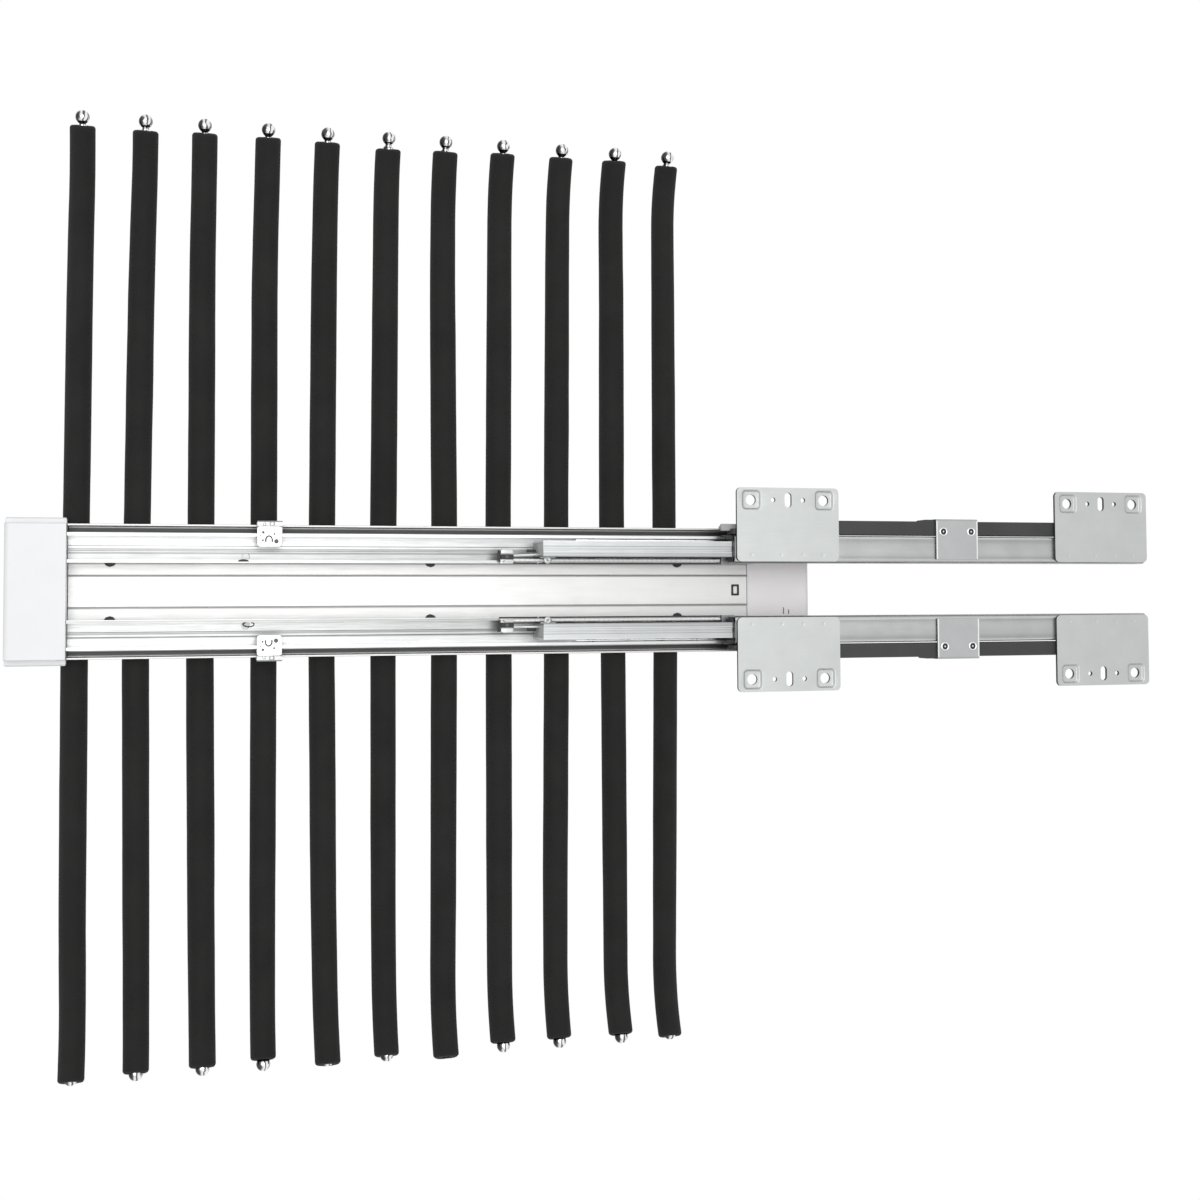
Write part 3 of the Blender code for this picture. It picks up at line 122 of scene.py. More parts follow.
# How rods and foam are drawn, along an arm
HAIR = 0.0001   # the least step between two rings
ROD_SIDES = 24
ROD_INSIDE = 0.2 * BEAM_HALF
ROD_MIDWAY = 0.165
ROD_END = SHOULDER - 0.0006
SHOULDER_PROFILE = ((-0.0002, ROD_RADIUS - 0.0001), (0.0, ROD_RADIUS - 0.0005),
                    (0.0003, NECK_RADIUS + 0.0002), (0.0006, NECK_RADIUS))
SLEEVE_SIDES = 28
SLEEVE_CHAMFER = 0.0004
SLEEVE_SKIN_START = SLEEVE_START + 0.001
SLEEVE_ROUNDING = 0.0019
NECK_BORE = NECK_RADIUS + 0.0003
BALL_GAP = 0.0002
BORE_BEHIND_BALL = BALL_BACK - 0.0008
BORE_PLACES = (0.262, 0.250, 0.238, ARM_STRAIGHT, 0.160, 0.100, 0.080, 0.060)
FOAM_WIDTH, FOAM_TAPER = 1.02, 0.045
TAPER_START, TAPER_SPAN = 0.1, 0.2
FOAM_WAVE, FOAM_GRAIN = 0.016, 0.006
END_SLANT = 0.0009   # the foam's ends lean outward at the top by this much
END_TILT = 0.0005
END_GRAIN = 0.00025
END_REACH = 0.012

# Mounting plates
PLATE_CORNER = 0.003
PLATE_THICKNESS = 0.002
HOLE_RADIUS = 0.0033
HOLE_FROM_EDGE = 0.0077
HOLE_FROM_END = 0.0097
PAD_HALF = 0.0064
PAD_DEPTH = 0.0014
PAD_SLOPE = 0.0016
PAD_CORNER = 0.0024
PAD_CORNER_LOSS = 0.0006
PAD_STEPS = 5
SLOT_HALVES = (0.0023, 0.0046)
SLOT_CORNER = 0.0022
PILOT_SPACING = 0.0198
PILOT_RADIUS = 0.0015
CLINCH_FROM_EDGE = 0.0042
CLINCH_PLACES = (0.14, 0.43, 0.64, 0.84)
CLINCH_PROFILE = ((0.0014, 0.0), (0.0011, 0.00003), (0.0007, 0.00010), (0.0004, 0.00012))

# Damper brackets, with profiles from their top
BRACKET_TOP = -0.0008
BRACKET_BOTTOM = -0.0080
BRACKET_SHEET = 0.0012
BRACKET_BEND = 0.0014
# bright strips near the bracket's ends: painted highlight on its end edges
HIGHLIGHT_FROM_END = 0.0006
HIGHLIGHT_HALF = 0.0004
HIGHLIGHT_HEIGHTS = (BRACKET_TOP - 0.0005, BRACKET_TOP + 0.0001)
RIVET_LINE = 0.0367
RIVET_HALF_SPACING = 0.00975
RIVET_RING = ((-0.0008, 0.0026), (0.0002, 0.0027), (0.0005, 0.0026), (0.0006, 0.0023),
              (0.0005, 0.0020), (0.0002, 0.0019), (-0.0008, 0.0019))
RIVET_PIN = ((0.00005, 0.00055), (0.0005, 0.00055), (0.00065, 0.0004), (0.0007, 0.0))
RIVET_CORE = ((-0.0003, 0.0019), (0.00035, 0.00195), (0.00035, 0.0012), (0.0003, 0.00055),
              (-0.0003, 0.00055))

# Springs, and what sits on the mid rails
MID_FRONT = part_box("mid_rail_left")[0].x
SPRING_AXIS = 0.0183
SPRING_HEIGHT = -0.0187
SPRING_RADIUS = 0.0012
WIRE_RADIUS = 0.00012
CURL_PITCH = 0.0031
CURL_STEPS = 14
TUBE_START = MID_FRONT + 0.0026
TUBE_END = TUBE_START + 0.1139
TUBE_RADIUS, TUBE_BORE = 0.00095, 0.00085
EAR_FROM_FRONT = 0.0054
EAR_ACROSS = 0.0186
EAR_PROFILE = ((-0.0172, 0.0), (-0.0172, 0.0024), (-0.0166, 0.0026), (-0.0160, 0.0024),
               (-0.0157, 0.0017), (-0.0158, 0.0009), (-0.0160, 0.0))
STRIP_ENDS = (MID_FRONT + 0.0005, MID_FRONT + 0.1165)
# dark strips in the slots beside the spring: painted shade
SLOT_SHADE_STRIPS = (((0.0196, 0.0201), (-0.0186, -0.0168)), ((0.0161, 0.0169), (-0.0209, -0.0203)))
# grey block in the mid rail's hollow front: painted shade
HOLLOW_SHADE_BLOCK = ((MID_FRONT + 0.0002, MID_FRONT + 0.0020), (0.0215, 0.0285), (-0.0306, -0.0059))

# Latches, in plan from the latch's tip, with heights from its bottom or its top
LATCH_HEAD = 0.0098   # latch's tip to the back of its head
LATCH_OUT = {"left": 0.0, "right": 0.0008}   # the right latch sits a little further out
LATCH_FLOOR = 0.0009
LATCH_BASE = ((0.0015, 0.0162), (LATCH_HEAD, 0.0162), (LATCH_HEAD, 0.0248), (0.0015, 0.0248),
              (0.0, 0.0233), (0.0, 0.0177))
LATCH_CHAMBERS = (   # outline, height above the bottom, depth below the top
    (((0.0016, 0.0222), (0.0090, 0.0222), (0.0090, 0.0248), (0.0024, 0.0248), (0.0016, 0.0240)),
     0.0008, 0.0),
    (((0.0030, 0.0172), (LATCH_HEAD, 0.0172), (LATCH_HEAD, 0.0184), (0.0046, 0.0184)),
     0.0008, 0.0004))
# dark pieces in the head's recess, at its tip and in the gaps beside the spring: painted shade
LATCH_HEAD_SHADES = (
    (((0.0016, 0.0188), (0.0097, 0.0188), (0.0097, 0.0218), (0.0016, 0.0218)), 0.0009, 0.0006),
    (((0.0, 0.0178), (0.0015, 0.0168), (0.0015, 0.0243), (0.0, 0.0243)), 0.0001, 0.0003))
LATCH_GAP_SHADES = ((0.0010, (0.0161, 0.0169), (0.0002, 0.0008)),
                (0.0096, (0.0196, 0.0201), (0.0001, 0.0012)))
SHADE_BAR_ENDS = (MID_FRONT - 0.0072, MID_FRONT - 0.0016)
SHADE_BAR_ACROSS = (0.0230, 0.0248)
SHADE_BAR_ABOVE, SHADE_BAR_BELOW = 0.0008, 0.0003
ARM_START = LATCH_HEAD - 0.0004
ARM_END = MID_FRONT + 0.0135
ARM_LOW = 0.0006
ARM_SPREAD = 1.4
ARM_AT_HEAD, ARM_AT_END = (0.0205, 0.0217), (0.0216, 0.0229)
STRIPS_END = MID_FRONT - 0.0002
LATCH_RIVET = (0.0056, 0.0203)
LATCH_RIVET_PROFILE = ((-0.0008, 0.0011), (-0.0004, 0.0011), (-0.0003, 0.0009), (-0.0003, 0.0))
PIN_RADIUS, PIN_TIP_RADIUS = 0.0008, 0.0004
PIN_IN_HEAD = 0.0005
PIN_SHOULDER, PIN_TIP = MID_FRONT + 0.0030, MID_FRONT + 0.0036

# Stop clips, in plan from their middle
CLIP_REAR = MID_FRONT - 0.150 - 0.0032
CLIP_FRONT = CLIP_REAR - 0.0144
CLIP_MIDDLE = (CLIP_FRONT + CLIP_REAR) / 2
CLIP_HEIGHTS = (-0.0200, -0.0190)
CLIP_LOW, CLIP_HIGH, CLIP_CORNER = (-0.0073, 0.0257), (0.0071, 0.0378), 0.0018
LUMP_HEIGHT = -0.0188
LUMPS = ((0.0013, 0.0391, 20, ((-0.0005, 0.0014), (0.0002, 0.0016), (0.0008, 0.0014),
                               (0.0012, 0.0008), (0.0013, 0.0))),
         (-0.0031, 0.0388, 16, ((-0.0005, 0.0010), (0.0001, 0.0011), (0.0006, 0.0008),
                                (0.0008, 0.0))))
DIMPLES = ((-0.0038, 0.0342, 0.0008), (0.0026, 0.0333, 0.0006), (0.0037, 0.0290, 0.0013),
           (-0.0040, 0.0296, 0.0006), (-0.0052, 0.0322, 0.0004))
DIMPLE_PROFILE = ((-0.0003, 1.0), (0.0001, 1.0), (0.00015, 0.6), (0.00015, 0.0))
ARCH_CENTRE, ARCH_RADII, ARCH_WIRE = (-0.0005, 0.0295), (0.0019, 0.0026), 0.00045

# Painted shade in the beam's access holes and the moving rails' keeper holes
ACCESS_PLACES = (0.056, 0.507, 0.887)
ACCESS_LINE = 0.0178
ACCESS_PROFILE = ((-0.0349, 0.0), (-0.0349, 0.0034), (-0.0335, 0.0034), (-0.0335, 0.0))
KEEPER_X = CLIP_FRONT - 0.0078
MOON_CENTRE, MOON_RADII, MOON_HEIGHTS = (KEEPER_X, 0.0171), (0.0032, 0.0014), (-0.0206, -0.0203)
RING_SHADE_CENTRE, RING_SHADE_RADII, RING_SHADE_HEIGHT = (KEEPER_X + 0.0036, 0.0196), (0.0031, 0.0014), -0.0317
RING_SHADE_WIRE = 0.00035

# Snap window, caps and rail buffers
WINDOW_FROM_END = 0.0056
WINDOW_LOW, WINDOW_HIGH, WINDOW_CORNER = (-0.0047, -0.0034), (0.0001, 0.0034), 0.0005
WINDOW_RINGS = ((0.0002, -0.0334), (0.0002, -0.0331), (-0.0011, -0.0331), (-0.0011, -0.0334))
WEB_BEFORE_BEAM = (0.0022, 0.0003)
WEB_HALF = 0.0372
WEB_BOTTOM, WEB_BELOW_TOP = -0.0465, 0.0009
CAP_RIM_ACROSS, CAP_RIM_HEIGHTS = (0.0375, 0.0423), (-0.0321, -0.0272)
CAP_RIM_GAP, CAP_RIM_CORNER = 0.0004, 0.0012
# pale strip behind the beam's rear end: painted highlight of its edge
HIGHLIGHT_BEHIND_BEAM = (0.0004, 0.0016)
REAR_HIGHLIGHT_HALF = 0.0385
REAR_HIGHLIGHT_HEIGHTS = (-0.0337, -0.0331)
MARKS = ((-0.1005, -0.0134, 0.0021), (-0.0970, -0.0141, 0.0015))   # X, Y and half length
MARK_HALF = 0.0003
MARK_HEIGHTS = (-0.0334, -0.0332)
BUFFER_ENDS, BUFFER_ACROSS, BUFFER_HEIGHTS = (0.0052, 0.0002), (0.0310, 0.0338), (-0.0150, -0.0050)
BUFFER_CORNER = 0.0008
# thin dark strip before the fixed rail's front: painted shade
FRONT_SHADE_ENDS, FRONT_SHADE_ACROSS, FRONT_SHADE_HEIGHTS = (0.0013, 0.0003), (0.0170, 0.0312), (-0.0120, -0.0045)


# Meshes

def smooth_mesh(name, bm):
    """Mesh of a bmesh, shaded smooth."""
    mesh = bpy.data.meshes.new(name)
    bm.to_mesh(mesh)
    bm.free()
    mesh.shade_smooth()
    return mesh


def add_piece(name, mesh, material, body, slot, *replaced):
    """Put a mesh in the scene on the body that carries it."""
    mesh.materials.append(MATERIALS[material])
    piece = bpy.data.objects.new(name, mesh)
    bpy.context.scene.collection.objects.link(piece)
    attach(piece, body)
    if replaced:
        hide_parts(*replaced)
    return piece


def add_solid(name, shapes, *looks, sharp_degrees=35.0):
    """Put closed shapes in the scene as one piece, with material, body and nodes; the slot is not
    used.
    """
    bm = bmesh.new()
    for rings, ends in shapes:
        loft(bm, rings, ends)
    bmesh.ops.recalc_face_normals(bm, faces=bm.faces)
    mesh = smooth_mesh(name, bm)
    mesh.set_sharp_from_angle(angle=math.radians(sharp_degrees))
    return add_piece(name, mesh, *looks)


def paint_faces(piece, material, chosen):
    """Give a second material to the faces whose normals are chosen."""
    piece.data.materials.append(MATERIALS[material])
    for face in piece.data.polygons:
        face.material_index = int(chosen(face.normal))


def soften(piece, width, segments=2, weld=False):
    """Round a piece's edges, and even out the shading beside them."""
    if weld:
        piece.modifiers.new("weld", "WELD").merge_threshold = 0.00002
    bevel = piece.modifiers.new("bevel", "BEVEL")
    bevel.width = width
    bevel.segments = segments
    bevel.limit_method = "ANGLE"
    bevel.angle_limit = math.radians(38)
    piece.modifiers.new("normals", "WEIGHTED_NORMAL").weight = 60


def loft(bm, rings, ends):
    """Faces through a shape's rings of points; a ring of one point is a pole.

    The ends are closed by faces, left to poles, or joined to each other.
    """
    made = [[bm.verts.new(point) for point in ring] for ring in rings]
    pairs = list(zip(made, made[1:]))
    if ends == "joined":
        pairs.append((made[-1], made[0]))
    for first, second in pairs:
        count = max(len(first), len(second))
        for i in range(count):
            j = (i + 1) % count
            corners = []
            for vert in (first[i % len(first)], first[j % len(first)],
                         second[j % len(second)], second[i % len(second)]):
                if vert not in corners:
                    corners.append(vert)
            bm.faces.new(corners)
    if ends == "closed":
        for ring in (made[0], made[-1]):
            if len(ring) > 2:
                bm.faces.new(ring)


def ring_about(middle, first, second, radius, sides):
    """Points round a place in the plane of two directions; at no radius, the place alone."""
    if radius == 0:
        return [middle]
    return [middle + radius * (first * math.cos(math.tau * i / sides)
                               + second * math.sin(math.tau * i / sides)) for i in range(sides)]


def turned(axis, centre, profile, sides, ends="closed"):
    """Shape turned about the X or Z axis, from (place, radius) pairs."""
    along, first = {"X": (Vector((1, 0, 0)), Vector((0, 1, 0))),
                    "Z": (Vector((0, 0, 1)), Vector((1, 0, 0)))}[axis]
    second = along.cross(first)
    return [ring_about(Vector(centre) + along * place, first, second, radius, sides)
            for place, radius in profile], ends


def prism(ends, outline, sign):
    """Shape with one (Y, Z) outline between two places on X."""
    return [[(x, sign * y, z) for y, z in outline] for x in ends], "closed"


def upright(heights, outline, sign):
    """Shape with one (X, Y) outline between two heights."""
    return [[(x, sign * y, z) for x, y in outline] for z in heights], "closed"


def block(ends, across, heights, sign=1):
    """Box between two places on each axis."""
    (near, far), (bottom, top) = across, heights
    return prism(ends, ((near, bottom), (far, bottom), (far, top), (near, top)), sign)


def sweep(points, radius, sides):
    """Wire along points."""
    points = [Vector(point) for point in points]
    normal = Vector((0, 0, 1))
    rings = []
    for i, point in enumerate(points):
        tangent = (points[min(i + 1, len(points) - 1)] - points[max(i - 1, 0)]).normalized()
        normal = (normal - tangent * normal.dot(tangent)).normalized()
        rings.append(ring_about(point, normal, tangent.cross(normal), radius, sides))
    return rings, "closed"


def evenly(start, end, steps):
    """Places at even steps after the start, with the end."""
    return [start + (end - start) * i / steps for i in range(1, steps + 1)]


def arc(centre, radii, start_degrees, end_degrees, steps):
    """Points along an arc of an oval, both ends included."""
    angles = [math.radians(start_degrees + (end_degrees - start_degrees) * i / steps)
              for i in range(steps + 1)]
    return [(centre[0] + radii[0] * math.cos(angle), centre[1] + radii[1] * math.sin(angle))
            for angle in angles]


def rounded_box(low, high, radius, steps=6):
    """Rectangle with round corners, counter-clockwise."""
    left, bottom = low[0] + radius, low[1] + radius
    right, top = high[0] - radius, high[1] - radius
    corners = ((right, bottom), (right, top), (left, top), (left, bottom))
    return [point for turn, corner in enumerate(corners)
            for point in arc(corner, (radius, radius), 90 * turn - 90, 90 * turn, steps)]


def box_about(centre, halves, radius, steps):
    """Rectangle with round corners about a point."""
    return rounded_box([middle - half for middle, half in zip(centre, halves)],
                       [middle + half for middle, half in zip(centre, halves)], radius, steps)


def circle(centre, radius, sides):
    """Points round a circle."""
    return arc(centre, (radius, radius), 0, 360 * (sides - 1) / sides, sides - 1)


def moved(outline, x, y):
    """Outline set further along both axes."""
    return [(x + point[0], y + point[1]) for point in outline]


# Materials

NOISE_RANGE = (0.3, 0.7)   # what a noise texture's values mostly span
NOISE_ROUGHNESS = 0.6
EVEN = (1, 1, 1)
ALONG_SLIDES = (6, 160, 160)
CAST = (60, 60, 60)
METAL_RELIEF = 0.00001
PLASTIC_GRAIN = 900.0
FOAM_PORES = 1700.0
FOAM_PORE_DEPTH = 0.0002
FOAM_SHADER = {"Roughness": 0.85, "Specular IOR Level": 0.25, "Sheen Weight": 0.04,
               "Sheen Roughness": 0.5}
CHROME_WOBBLE = 0.08


def set_inputs(node, values):
    """Set values of a node's inputs."""
    for socket, value in values.items():
        node.inputs[socket].default_value = value
    return node


def add_node(tree, kind, values=None):
    """Shader node with values for its inputs."""
    return set_inputs(tree.nodes.new(f"ShaderNode{kind}"), values or {})


def new_material(name):
    """Material with a bare Principled shader."""
    material = bpy.data.materials.new(name)
    material.use_nodes = True
    tree = material.node_tree
    tree.nodes.clear()
    output = add_node(tree, "OutputMaterial")
    shader = add_node(tree, "BsdfPrincipled")
    tree.links.new(shader.outputs[0], output.inputs[0])
    return material, tree, shader


def stretched_noise(tree, stretch, scale, detail):
    """Noise in object space, drawn out along the axes that have a small stretch."""
    place = add_node(tree, "TexCoord")
    mapping = add_node(tree, "Mapping", {"Scale": stretch})
    texture = add_node(tree, "TexNoise", {"Scale": scale, "Detail": detail,
                                          "Roughness": NOISE_ROUGHNESS})
    tree.links.new(place.outputs["Object"], mapping.inputs[0])
    tree.links.new(mapping.outputs[0], texture.inputs["Vector"])
    return texture.outputs[0]


def separated(tree, kind):
    """X, Y and Z of a texture coordinate."""
    axes = add_node(tree, "SeparateXYZ")
    tree.links.new(add_node(tree, "TexCoord").outputs[kind], axes.inputs[0])
    return axes.outputs


def calculated(tree, operation, *values):
    """What a math node makes of its values."""
    node = add_node(tree, "Math")
    node.operation = operation
    for value, socket in zip(values, node.inputs):
        tree.links.new(value, socket)
    return node.outputs[0]


def spread(tree, value, low, high, from_low=NOISE_RANGE[0], from_high=NOISE_RANGE[1]):
    """Map a value to a range."""
    node = add_node(tree, "MapRange", {"From Min": from_low, "From Max": from_high,
                                       "To Min": low, "To Max": high})
    tree.links.new(value, node.inputs[0])
    return node.outputs[0]


def colour_ramp(tree, value, stops):
    """Ramp over a value from 0 to 1, from (place, colour) pairs."""
    ramp = add_node(tree, "ValToRGB")
    elements = ramp.color_ramp.elements
    while len(elements) < len(stops):
        elements.new(0.5)
    for element, (at, colour) in zip(elements, stops):
        element.position = at
        element.color = (*colour, 1.0)
    tree.links.new(value, ramp.inputs[0])
    return ramp.outputs[0]


def mixed_colour(tree, value, first, second):
    """Colour between two, by a texture's value."""
    return colour_ramp(tree, value, tuple(zip(NOISE_RANGE, (first, second))))


def shade_ramp(tree, value, shades):
    """Grey ramp over a value from 0 to 1, from (place, shade) pairs."""
    return colour_ramp(tree, value, [(at, (shade, shade, shade)) for at, shade in shades])


def add_bump(tree, shader, value, height):
    """Fine relief in metres."""
    bump = add_node(tree, "Bump", {"Strength": 1.0, "Distance": height})
    tree.links.new(value, bump.inputs["Height"])
    tree.links.new(bump.outputs[0], shader.inputs["Normal"])


def multiplied(tree, colour, shade, share=None):
    """Colour times a shade, where share says."""
    mix = add_node(tree, "MixRGB", {"Fac": 1.0})
    mix.blend_type = "MULTIPLY"
    if share is not None:
        tree.links.new(share, mix.inputs["Fac"])
    tree.links.new(colour, mix.inputs[1])
    tree.links.new(shade, mix.inputs[2])
    return mix.outputs[0]


# Painted shade and highlight bands by distance from the middle plane, in millimetres
BAND_REACH_MM = 50.0
BEAM_SHADE_BANDS_MM = (
    (0, 0.93), (8.7, 0.93), (8.9, 0.55), (9.7, 0.55), (10.0, 0.87), (16.1, 0.84), (16.35, 0.50),
    (17.0, 0.50), (17.2, 0.80), (34.0, 0.88), (34.6, 0.10), (36.6, 0.14), (37.3, 0.80),
    (40.0, 0.95))
MOVING_SHADE_BANDS_MM = (
    (15.5, 0.95), (15.8, 0.55), (16.7, 0.55), (17.1, 0.86), (18.5, 0.82), (20.5, 0.74),
    (22.6, 0.72), (22.95, 0.42), (23.85, 0.42), (24.2, 0.80), (25.0, 0.66), (25.3, 0.46),
    (26.0, 0.46), (26.4, 0.86), (28.0, 0.92), (30.0, 0.97), (33.2, 1.0), (33.5, 0.7))
FIXED_SHADE_BANDS_MM = (
    (16.6, 0.66), (17.2, 0.66), (18.0, 0.98), (18.6, 0.98), (19.8, 0.64), (21.5, 0.80),
    (23.6, 0.84), (28.3, 0.78), (30.9, 0.62), (31.7, 0.68), (32.5, 1.0), (33.2, 1.0),
    (33.5, 0.6))
MID_SHADE_BANDS_MM = (
    (20.2, 0.50), (20.7, 0.60), (21.2, 0.78), (21.9, 0.62), (22.5, 0.70), (23.1, 1.0),
    (23.9, 1.0), (24.6, 0.66), (25.3, 0.80), (26.3, 0.86), (29.0, 0.86), (29.5, 1.0))
CAP_SHADE_BANDS_MM = (
    (0, 0.95), (37.9, 0.95), (38.2, 1.0), (38.4, 0.80), (38.8, 0.80), (39.1, 1.0), (41.2, 1.0),
    (41.7, 0.80))
BEAM_SHIFT_MM, MOVING_SHIFT_MM = 0.5, 1.1
SHIFT_FADES = (0.0285, 0.0300)       # across which the shift goes to nothing
FLOOR_EDGE = (-0.0345, -0.0337)      # heights across which the beam's bands set in
TROUGH_EDGE = (0.0298, 0.0308)       # across which the trough's painted shade goes to nothing
TROUGH_PAINTED_SHADE = (                      # painted shade by share of the moving rail's length
    (0.0, 1.0), (0.18, 0.99), (0.30, 0.93), (0.43, 0.87), (0.52, 0.83), (0.58, 0.80), (1.0, 0.80))
CHROME_PAINTED_REFLECTIONS = (                   # painted reflection: shades by the normal, from front to rear
    (0.0, 0.03), (0.18, 0.05), (0.30, 0.10), (0.36, 0.55), (0.47, 0.90), (0.53, 0.85),
    (0.57, 0.10), (0.63, 0.12), (0.68, 0.85), (0.80, 0.90), (0.90, 0.30), (1.0, 0.04))


def painted_shade_bands(tree, colour, bands_mm, above_floor=False, shift_mm=0.0, fade=None):
    """Shade a colour by the distance from the middle plane.

    Painted shade and highlight: darker bands in gaps, grooves and bends, lighter on rounded faces.
    The bands may be kept above the beam's floor. The shift moves the inner bands to the right, by
    as much on both slides. A painted shade darkens the moving rails' trough along its length.
    """
    axes = separated(tree, "Object")
    even = calculated(tree, "ABSOLUTE", axes["Y"])
    shift = spread(tree, even, shift_mm * MM, 0.0, *SHIFT_FADES)
    distance = calculated(tree, "ABSOLUTE", calculated(tree, "ADD", axes["Y"], shift))
    across = spread(tree, distance, 0.0, 1.0, 0.0, BAND_REACH_MM * MM)
    share = spread(tree, axes["Z"], 0.0, 1.0, *FLOOR_EDGE) if above_floor else None
    shades = [(at / BAND_REACH_MM, shade) for at, shade in bands_mm]
    # painted shade and highlight: bands of darker and lighter colour across the part
    colour = multiplied(tree, colour, shade_ramp(tree, across, shades), share)
    # painted shade: the moving rails' trough darkens towards the rear
    if fade:
        low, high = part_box("moving_rail_left")
        along = spread(tree, axes["X"], 0.0, 1.0, low.x, high.x)
        inside = spread(tree, distance, 1.0, 0.0, *TROUGH_EDGE)
        colour = multiplied(tree, colour, shade_ramp(tree, along, fade), inside)
    return colour


def clouded(name, fine, cloud_scale, colours, roughness, relief, bands):
    """Material with two colours in soft clouds, and fine noise in its roughness and relief."""
    material, tree, shader = new_material(name)
    fine = stretched_noise(tree, *fine)
    colour = mixed_colour(tree, stretched_noise(tree, EVEN, cloud_scale, 3.0), *colours)
    if bands:
        colour = painted_shade_bands(tree, colour, **bands)
    tree.links.new(colour, shader.inputs["Base Color"])
    tree.links.new(spread(tree, fine, *roughness), shader.inputs["Roughness"])
    add_bump(tree, shader, fine, relief)
    return material, shader


def rolled_metal(name, first, second, rough_low, rough_high, stretch=ALONG_SLIDES, **bands):
    """Metal with fine lines along the slides, as rolling or extruding leaves."""
    material, shader = clouded(name, (stretch, 8.0, 4.0), 60.0, (first, second),
                               (rough_low, rough_high), METAL_RELIEF, bands)
    set_inputs(shader, {"Metallic": 1.0})
    return material


def plastic(name, first, second, roughness, relief=0.00002, **bands):
    """Moulded plastic with a fine grain."""
    return clouded(name, (EVEN, PLASTIC_GRAIN, 2.0), 40.0, (first, second),
                   (roughness - 0.05, roughness + 0.05), relief, bands)[0]


def foam_material():
    """Black closed-cell foam with fine pores and a faint sheen."""
    material, tree, shader = new_material("foam")
    cells = add_node(tree, "TexVoronoi", {"Scale": FOAM_PORES})
    tree.links.new(add_node(tree, "TexCoord").outputs["Object"], cells.inputs["Vector"])
    colour = mixed_colour(tree, stretched_noise(tree, EVEN, 35.0, 3.0),
                          (0.0100, 0.0100, 0.0097), (0.0160, 0.0160, 0.0155))
    tree.links.new(colour, shader.inputs["Base Color"])
    set_inputs(shader, FOAM_SHADER)
    add_bump(tree, shader, cells.outputs["Distance"], FOAM_PORE_DEPTH)
    return material


def chrome_material():
    """Bright plated steel, streaked dark and light by a painted studio reflection."""
    material, tree, shader = new_material("chrome")
    set_inputs(shader, {"Metallic": 1.0})
    wobble = stretched_noise(tree, EVEN, 260.0, 1.0)
    facing = spread(tree, separated(tree, "Normal")["X"], 0.0, 1.0, -1.0, 1.0)
    place = calculated(tree, "ADD", facing, spread(tree, wobble, -CHROME_WOBBLE, CHROME_WOBBLE))
    # painted reflection: the base colour goes dark and light by the way the surface faces
    tree.links.new(shade_ramp(tree, place, CHROME_PAINTED_REFLECTIONS), shader.inputs["Base Color"])
    tree.links.new(spread(tree, wobble, 0.05, 0.12), shader.inputs["Roughness"])
    return material


